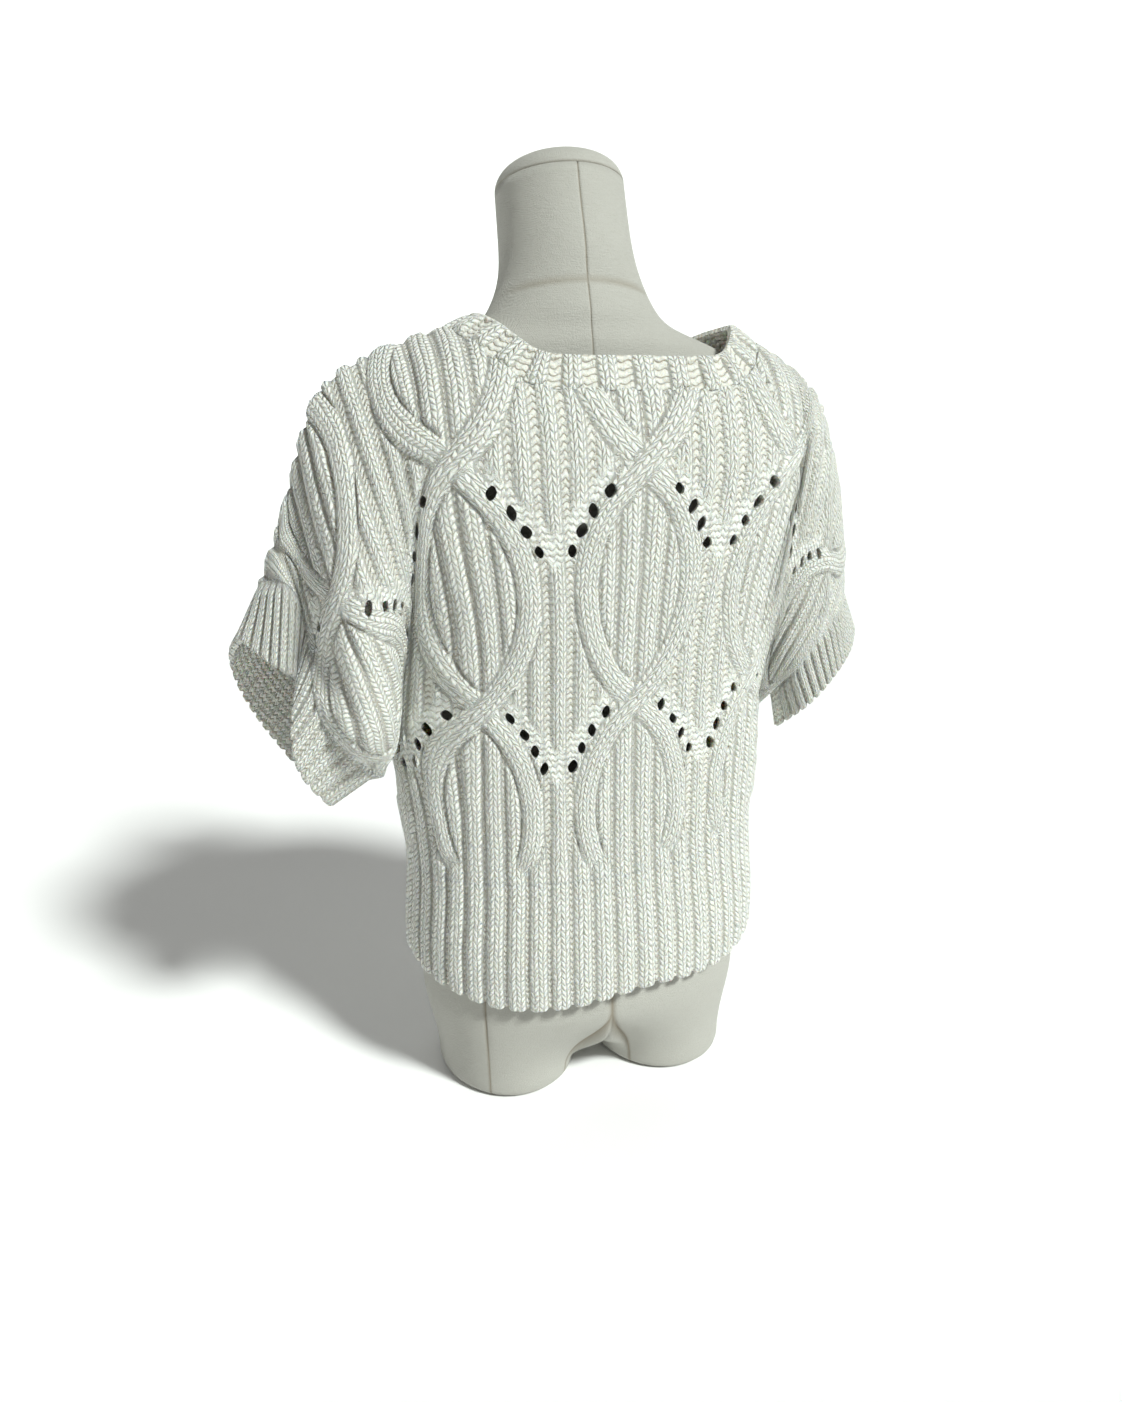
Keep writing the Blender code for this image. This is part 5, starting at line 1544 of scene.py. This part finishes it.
class Value:
    """A shader socket on which sums are written as Python expressions."""

    def __init__(self, tree: "Tree", socket: bpy.types.NodeSocket) -> None:
        """Wraps one output socket of a node tree."""
        self.tree, self.socket = tree, socket

    def maths(self, operation: str, *others: "Value | float", swap: bool = False) -> "Value":
        """Adds a Math node.

        Args:
            operation: Its operation.
            others: The values after this one.
            swap: Whether they come in reverse order.

        Returns:
            The node's output.
        """
        inputs = [self, *others]
        if swap:
            inputs.reverse()
        return self.tree.node("ShaderNodeMath", {"operation": operation}, dict(enumerate(inputs)))

    __add__ = __radd__ = operator("ADD")
    __mul__ = __rmul__ = operator("MULTIPLY")
    __sub__, __rsub__ = operator("SUBTRACT"), operator("SUBTRACT", swap=True)
    __truediv__, __rtruediv__ = operator("DIVIDE"), operator("DIVIDE", swap=True)
    __pow__ = operator("POWER")

    def clamp(self) -> "Value":
        """Held between 0 and 1."""
        return self.maths("MAXIMUM", 0.0).maths("MINIMUM", 1.0)


@dataclass
class Tree:
    """A material's node tree, with one method that adds any node."""

    material: bpy.types.Material

    def node(self, kind: str, settings: dict | None = None, inputs: dict | None = None,
             out: int | str = 0) -> Value:
        """Adds a node.

        Args:
            kind: The node's type.
            settings: Its own settings, set first.
            inputs: Values or links by socket name or number.
            out: The output that is returned.

        Returns:
            The chosen output.
        """
        node = self.material.node_tree.nodes.new(kind)
        for key, value in (settings or {}).items():
            setattr(node, key, value)
        for key, value in (inputs or {}).items():
            if isinstance(value, Value):
                self.material.node_tree.links.new(value.socket, node.inputs[key])
            else:
                node.inputs[key].default_value = value
        return Value(self, node.outputs[out])

    def mix(self, factor: Value, a: "Value | tuple", b: "Value | tuple") -> Value:
        """A colour between a and b."""
        settings = {"data_type": "RGBA", "clamp_factor": True}
        return self.node("ShaderNodeMix", settings, {0: factor, 6: a, 7: b}, out=2)

    def noise(self, place: Value, scale: float, detail: float = 2.0) -> Value:
        """Noise on a place, 0 to 1."""
        return self.node("ShaderNodeTexNoise", {}, {"Vector": place, "Scale": scale, "Detail": detail})

    def feed(self, node: bpy.types.Node, name: str, value: Value) -> None:
        """Links a value to a node's input."""
        self.material.node_tree.links.new(value.socket, node.inputs[name])


def new_tree(name: str, roughness: float, sheen: float) -> tuple[Tree, bpy.types.Node]:
    """A material with its Principled shader's constant values set.

    Args:
        name: The material's name.
        roughness: Its roughness.
        sheen: Its sheen weight.

    Returns:
        The node tree and the shader.
    """
    material = bpy.data.materials.new(name)
    material.use_nodes = True
    shader = material.node_tree.nodes["Principled BSDF"]
    shader.inputs["Roughness"].default_value = roughness
    shader.inputs["Specular IOR Level"].default_value = 0.25
    shader.inputs["Sheen Weight"].default_value = sheen
    shader.inputs["Sheen Roughness"].default_value = 0.5
    return Tree(material), shader


@dataclass(frozen=True)
class YarnFinish:
    """Slubby ivory cotton, knitted: V-shaped plain stitches on the ribs, purl bars between them."""

    name: str
    light: tuple = (0.77, 0.79, 0.73, 1.0)
    slub: tuple = (0.90, 0.915, 0.87, 1.0)
    # painted shade colour, put into the gaps between stitches and deep in the grooves
    shade: tuple = (0.47, 0.36, 0.225, 1.0)
    bump_depth: float = 0.0028
    translucence: float = 0.35
    light_reach: float = 0.004
    leg_slant: float = 1.45
    leg_power: float = 2.4
    wale_power: float = 2.6
    roundness: float = 0.6                     # root that rounds a strand's section
    purl_arch: float = 0.2
    course_wander: float = 0.9                 # how far rows and wales stray, in stitches
    wale_wander: float = 0.35
    uneven_size: float = 70.0                  # noise cells in a metre, as below
    wale_size: float = 110.0
    thick_size: float = 200.0
    slub_size: float = 330.0
    fibre_size: float = 1100.0

    def relief(self, tree: Tree, place: Value, stitch: Value) -> tuple[Value, Value]:
        """The stitches' heights and the gaps between them.

        A plain stitch has two slanting legs that meet low in the middle of its wale, |wale| x slant
        under the course; a purl stitch is a low arch, a cosine across its wale.

        Args:
            tree: The material's tree.
            place: Object coordinates.
            stitch: Wale, course and plain share.

        Returns:
            The height and the share of painted shade in the gaps between stitches, both about 0 to 1.
        """
        node = tree.node("ShaderNodeSeparateXYZ", {}, {0: stitch}).socket.node
        wale, course, plain = (Value(tree, node.outputs[k]) for k in range(3))
        course = course + (tree.noise(place, self.uneven_size) - 0.5) * self.course_wander
        wale = wale + (tree.noise(place, self.wale_size) - 0.5) * self.wale_wander
        across = wale.maths("FRACT") - 0.5
        away = across.maths("ABSOLUTE")
        leg = ((course - away * self.leg_slant).maths("FRACT") - 0.5).maths("ABSOLUTE") * 2.0
        strand = (1.0 - leg ** self.leg_power).clamp() ** self.roundness
        beside = (away - 0.25).maths("ABSOLUTE") * 4.0
        over = (1.0 - beside ** self.wale_power).clamp() ** self.roundness
        turn = across * (2.0 * np.pi)
        arch = (course + turn.maths("COSINE") * self.purl_arch).maths("FRACT") - 0.5
        bar = (1.0 - (arch.maths("ABSOLUTE") * 2.0) ** 2.0).clamp() ** self.roundness
        height = bar * (1.0 - plain) * 0.8 + strand * over * plain
        # painted shade in the gaps between the plain stitches' legs and between the purl bars
        gap_shade = (1.0 - strand) * (1.0 - over) * plain + (1.0 - bar) ** 3.0 * (1.0 - plain) * 0.5
        return height, gap_shade

    def build(self) -> bpy.types.Material:
        """The finish's material: painted shade in the gaps between stitches and deep in the grooves, with
        slubs and a stitch bump.

        Returns:
            The material.
        """
        tree, shader = new_tree(self.name, roughness=0.92, sheen=0.12)
        shader.inputs["Subsurface Weight"].default_value = self.translucence
        shader.inputs["Subsurface Radius"].default_value = (1.0, 0.8, 0.55)
        shader.inputs["Subsurface Scale"].default_value = self.light_reach
        place = tree.node("ShaderNodeTexCoord", out="Object")
        stitch = tree.node("ShaderNodeAttribute", {"attribute_name": "stitch"}, out="Vector")
        level = tree.node("ShaderNodeAttribute", {"attribute_name": "level"}, out="Fac")
        height, gap_shade = self.relief(tree, place, stitch)
        thick = tree.noise(place, self.thick_size, 2.0)
        fibre = tree.noise(place, self.fibre_size, 3.0)
        relief = height * (0.65 + thick * 0.7) + (thick - 0.5) * 0.7 + (fibre - 0.5) * 0.3
        bump = tree.node("ShaderNodeBump", {}, {"Strength": 1.0, "Distance": self.bump_depth,
                                                "Height": relief})
        # painted shade: the yarn's colour darkens towards the shade colour deep in the grooves and in the
        # gaps between stitches
        deep = (1.0 - level).clamp() ** 1.5
        gap = (gap_shade * 0.85 + deep * 0.14 + gap_shade * deep * 0.8).clamp()
        slub = (tree.noise(place, self.slub_size, 3.0) * 2.0 - 0.5).clamp()
        yarn = tree.mix(slub, self.light, self.slub)
        tree.feed(shader, "Base Color", tree.mix(gap, yarn, self.shade))
        tree.feed(shader, "Normal", bump)
        return tree.material


@dataclass(frozen=True)
class LinenFinish:
    """Plain-woven natural linen stretched over padding, with its sewn seams darker."""

    name: str
    light: tuple = (0.56, 0.56, 0.52, 1.0)
    dark: tuple = (0.44, 0.43, 0.385, 1.0)
    thread: tuple = (0.27, 0.23, 0.17, 1.0)
    threads_per_metre: float = 950.0
    seam_tint: float = 0.85

    def build(self) -> bpy.types.Material:
        """The finish's material: the weave is sin(warp) x sin(weft), over upright slubs.

        Returns:
            The material.
        """
        tree, shader = new_tree(self.name, roughness=0.9, sheen=0.1)
        place = tree.node("ShaderNodeTexCoord", out="Object")
        level = tree.node("ShaderNodeAttribute", {"attribute_name": "level"}, out="Fac")
        node = tree.node("ShaderNodeSeparateXYZ", {}, {0: place}).socket.node
        x, y, z = (Value(tree, node.outputs[k]) for k in range(3))
        turn = 2.0 * np.pi * self.threads_per_metre
        uneven = tree.noise(place, 45.0, 2.0) * 9.0
        warp = ((x + y * 0.8) * turn + uneven).maths("SINE")
        weft = (z * turn + uneven).maths("SINE")
        weave = warp * weft * 0.5 + 0.5
        long_place = tree.node("ShaderNodeMapping", {}, {0: place, "Scale": (1.0, 1.0, 7.0)})
        slub = tree.noise(long_place, 130.0, 4.0)
        fine = tree.noise(place, 800.0, 2.0)
        height = weave * 0.45 + slub * 0.8 + fine * 0.9
        bump = tree.node("ShaderNodeBump", {}, {"Strength": 0.7, "Distance": 0.001, "Height": height})
        tone = (slub * 0.5 + fine * 0.6 + weave * 0.15 - 0.15).clamp()
        cloth = tree.mix(tone, self.dark, self.light)
        tree.feed(shader, "Base Color", tree.mix((1.0 - level) * self.seam_tint, cloth, self.thread))
        tree.feed(shader, "Normal", bump)
        return tree.material


# ---- Room ---------------------------------------------------------------------------------------
@dataclass
class Studio:
    """Pale paper under and far behind the form, a soft sun from the upper right, and the camera."""

    azimuth: float = 163.93                    # degrees, millimetres and pixels for the camera
    distance: float = 957.95
    height: float = 652.92
    pitch: float = 21.45
    roll: float = -0.49
    focal_px: float = 1024.76
    axis_px: tuple = (575.8, 798.1)
    image_px: tuple = (1122, 1402)
    sensor: float = 36.0
    sun_bearing: float = 50.0                  # degrees to the right of the camera
    sun_height: float = 44.0
    sun_width: float = 10.0
    sun_energy: float = 3.8
    sun_color: tuple = (0.955, 1.0, 0.965)
    air_color: tuple = (1.0, 0.97, 0.93, 1.0)
    air_strength: float = 0.15
    paper_color: tuple = (0.95, 0.95, 0.95, 1.0)
    paper_flat: float = 3.0                    # metres, as below
    paper_bend: float = 2.0
    paper_slope: float = 58.0                  # degrees
    paper_half: float = 14.0
    paper_front: float = 6.0
    paper_tail: float = 6.0                    # how far it goes on past the bend
    paper_rows: tuple = (20, 40)               # along the flat and round the bend

    def build_floor(self) -> None:
        """The paper: flat, then an arc y = bend sin(a), z = bend (1 - cos(a)), then straight on."""
        flat_rows, bend_rows = self.paper_rows
        turn = np.linspace(0.0, np.radians(self.paper_slope), bend_rows)
        y = np.concatenate([np.linspace(self.paper_front, -self.paper_flat, flat_rows),
                            -self.paper_flat - self.paper_bend * np.sin(turn)])
        z = np.concatenate([np.zeros(flat_rows), self.paper_bend * (1.0 - np.cos(turn))])
        y = np.append(y, y[-1] - self.paper_tail)
        z = np.append(z, z[-1] + self.paper_tail * np.tan(turn[-1]))
        x = np.linspace(-self.paper_half, self.paper_half, 3)
        rows = np.stack([np.tile(x, len(y)), np.repeat(y, 3), np.repeat(z, 3)], axis=1)
        faces = oriented(rows, grid_faces(len(y), 3), rows * 0.0 + (0.0, 0.0, 1.0))
        mesh = bpy.data.meshes.new("studio_floor")
        mesh.from_pydata(rows.tolist(), [], faces.tolist())
        mesh.shade_smooth()
        material = bpy.data.materials.new("studio_paper")
        material.use_nodes = True
        shader = material.node_tree.nodes["Principled BSDF"]
        shader.inputs["Base Color"].default_value = self.paper_color
        shader.inputs["Roughness"].default_value = 1.0
        mesh.materials.append(material)
        floor = bpy.data.objects.new("studio_floor", mesh)
        bpy.context.scene.collection.objects.link(floor)

    def camera_axes(self) -> tuple[Vector, Vector, Vector, Vector]:
        """The camera's frame, from its bearing round the form and its tilt.

        Returns:
            Its place in metres, its right, its up and the way it looks.
        """
        a, p, r = np.radians((self.azimuth, self.pitch, self.roll))
        place = np.array([np.sin(a) * self.distance, -np.cos(a) * self.distance, self.height])
        level = np.array([-np.sin(a), np.cos(a), 0.0])
        right = np.array([level[1], -level[0], 0.0])
        look = level * np.cos(p) + np.array([0.0, 0.0, -np.sin(p)])
        up = np.cross(right, look)
        turned = right * np.cos(r) + up * np.sin(r)
        up = -right * np.sin(r) + up * np.cos(r)
        return Vector((place - CENTRE) * MM), Vector(turned), Vector(up), Vector(look)

    def build_camera(self) -> None:
        """The camera at its place, with a shift where the picture is framed off its axis."""
        place, right, up, look = self.camera_axes()
        wide, tall = self.image_px
        data = bpy.data.cameras.new("camera")
        data.sensor_fit = "VERTICAL"
        data.sensor_height = self.sensor
        data.lens = self.focal_px * self.sensor / tall
        data.shift_x = -(self.axis_px[0] - wide / 2.0) / tall
        data.shift_y = (self.axis_px[1] - tall / 2.0) / tall
        data.clip_end = 50.0
        camera = bpy.data.objects.new("camera", data)
        turn = Matrix((right, up, -look)).transposed()
        camera.matrix_world = Matrix.Translation(place) @ turn.to_4x4()
        bpy.context.scene.collection.objects.link(camera)
        bpy.context.scene.camera = camera

    def build_light(self) -> None:
        """A sun from over the viewer's right shoulder and a dim, even surround."""
        _, right, _, look = self.camera_axes()
        ahead = Vector((look.x, look.y, 0.0)).normalized()
        bearing, height = np.radians((self.sun_bearing, self.sun_height))
        level = right * np.sin(bearing) - ahead * np.cos(bearing)
        heading = (level * np.cos(height) + Vector((0.0, 0.0, np.sin(height)))).normalized()
        sun = bpy.data.lights.new("sun", "SUN")
        sun.energy = self.sun_energy
        sun.angle = np.radians(self.sun_width)
        sun.color = self.sun_color
        lamp = bpy.data.objects.new("sun", sun)
        lamp.rotation_euler = heading.to_track_quat("Z", "Y").to_euler()
        bpy.context.scene.collection.objects.link(lamp)
        world = bpy.data.worlds.new("surround")
        world.use_nodes = True
        air = world.node_tree.nodes["Background"]
        air.inputs["Color"].default_value = self.air_color
        air.inputs["Strength"].default_value = self.air_strength
        bpy.context.scene.world = world
        bpy.context.scene.view_settings.view_transform = "Standard"


def declare(piece: bpy.types.Object, node: str) -> None:
    """Hides the CAD node that a piece stands for."""
    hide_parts(node)


def main() -> None:
    """Builds the room, the form and every cloth piece."""
    logging.basicConfig(level=logging.INFO, format="%(name)s %(message)s")
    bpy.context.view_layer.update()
    studio = Studio()
    studio.build_floor()
    studio.build_camera()
    studio.build_light()

    linen = LinenFinish("natural_linen").build()
    form = DressForm()
    cover = form.build_cover("form_cover", linen)
    declare(cover, "dress_form")
    declare(form.build_cap("neck_disc_cover", linen), "neck_cap")

    yarn = YarnFinish("ivory_slub_yarn").build()
    lattice = Lattice(Drape())
    for face, name, area in ((Face.BACK, "back", 0.317), (Face.FRONT, "front", 0.305)):
        panel = Panel(face, lattice).build(f"{name}_panel_knit", yarn)
        declare(panel, f"{name}_panel")
        hem = HemRib(face, lattice).build(f"{name}_hem_ribbing", yarn)
        declare(hem, f"{name}_hem_rib")
    for side, name, flat in ((1, "left", (0.50, 0.07)), (-1, "right", (0.34, 0.045))):
        cuff = Cuff(side, lattice).build(f"{name}_cuff_ribbing", yarn)
        declare(cuff, f"{name}_cuff")
    band = Neckband(lattice).build("neckband_ribbing", yarn)
    declare(band, "neckband")


if __name__ == "__main__":
    main()
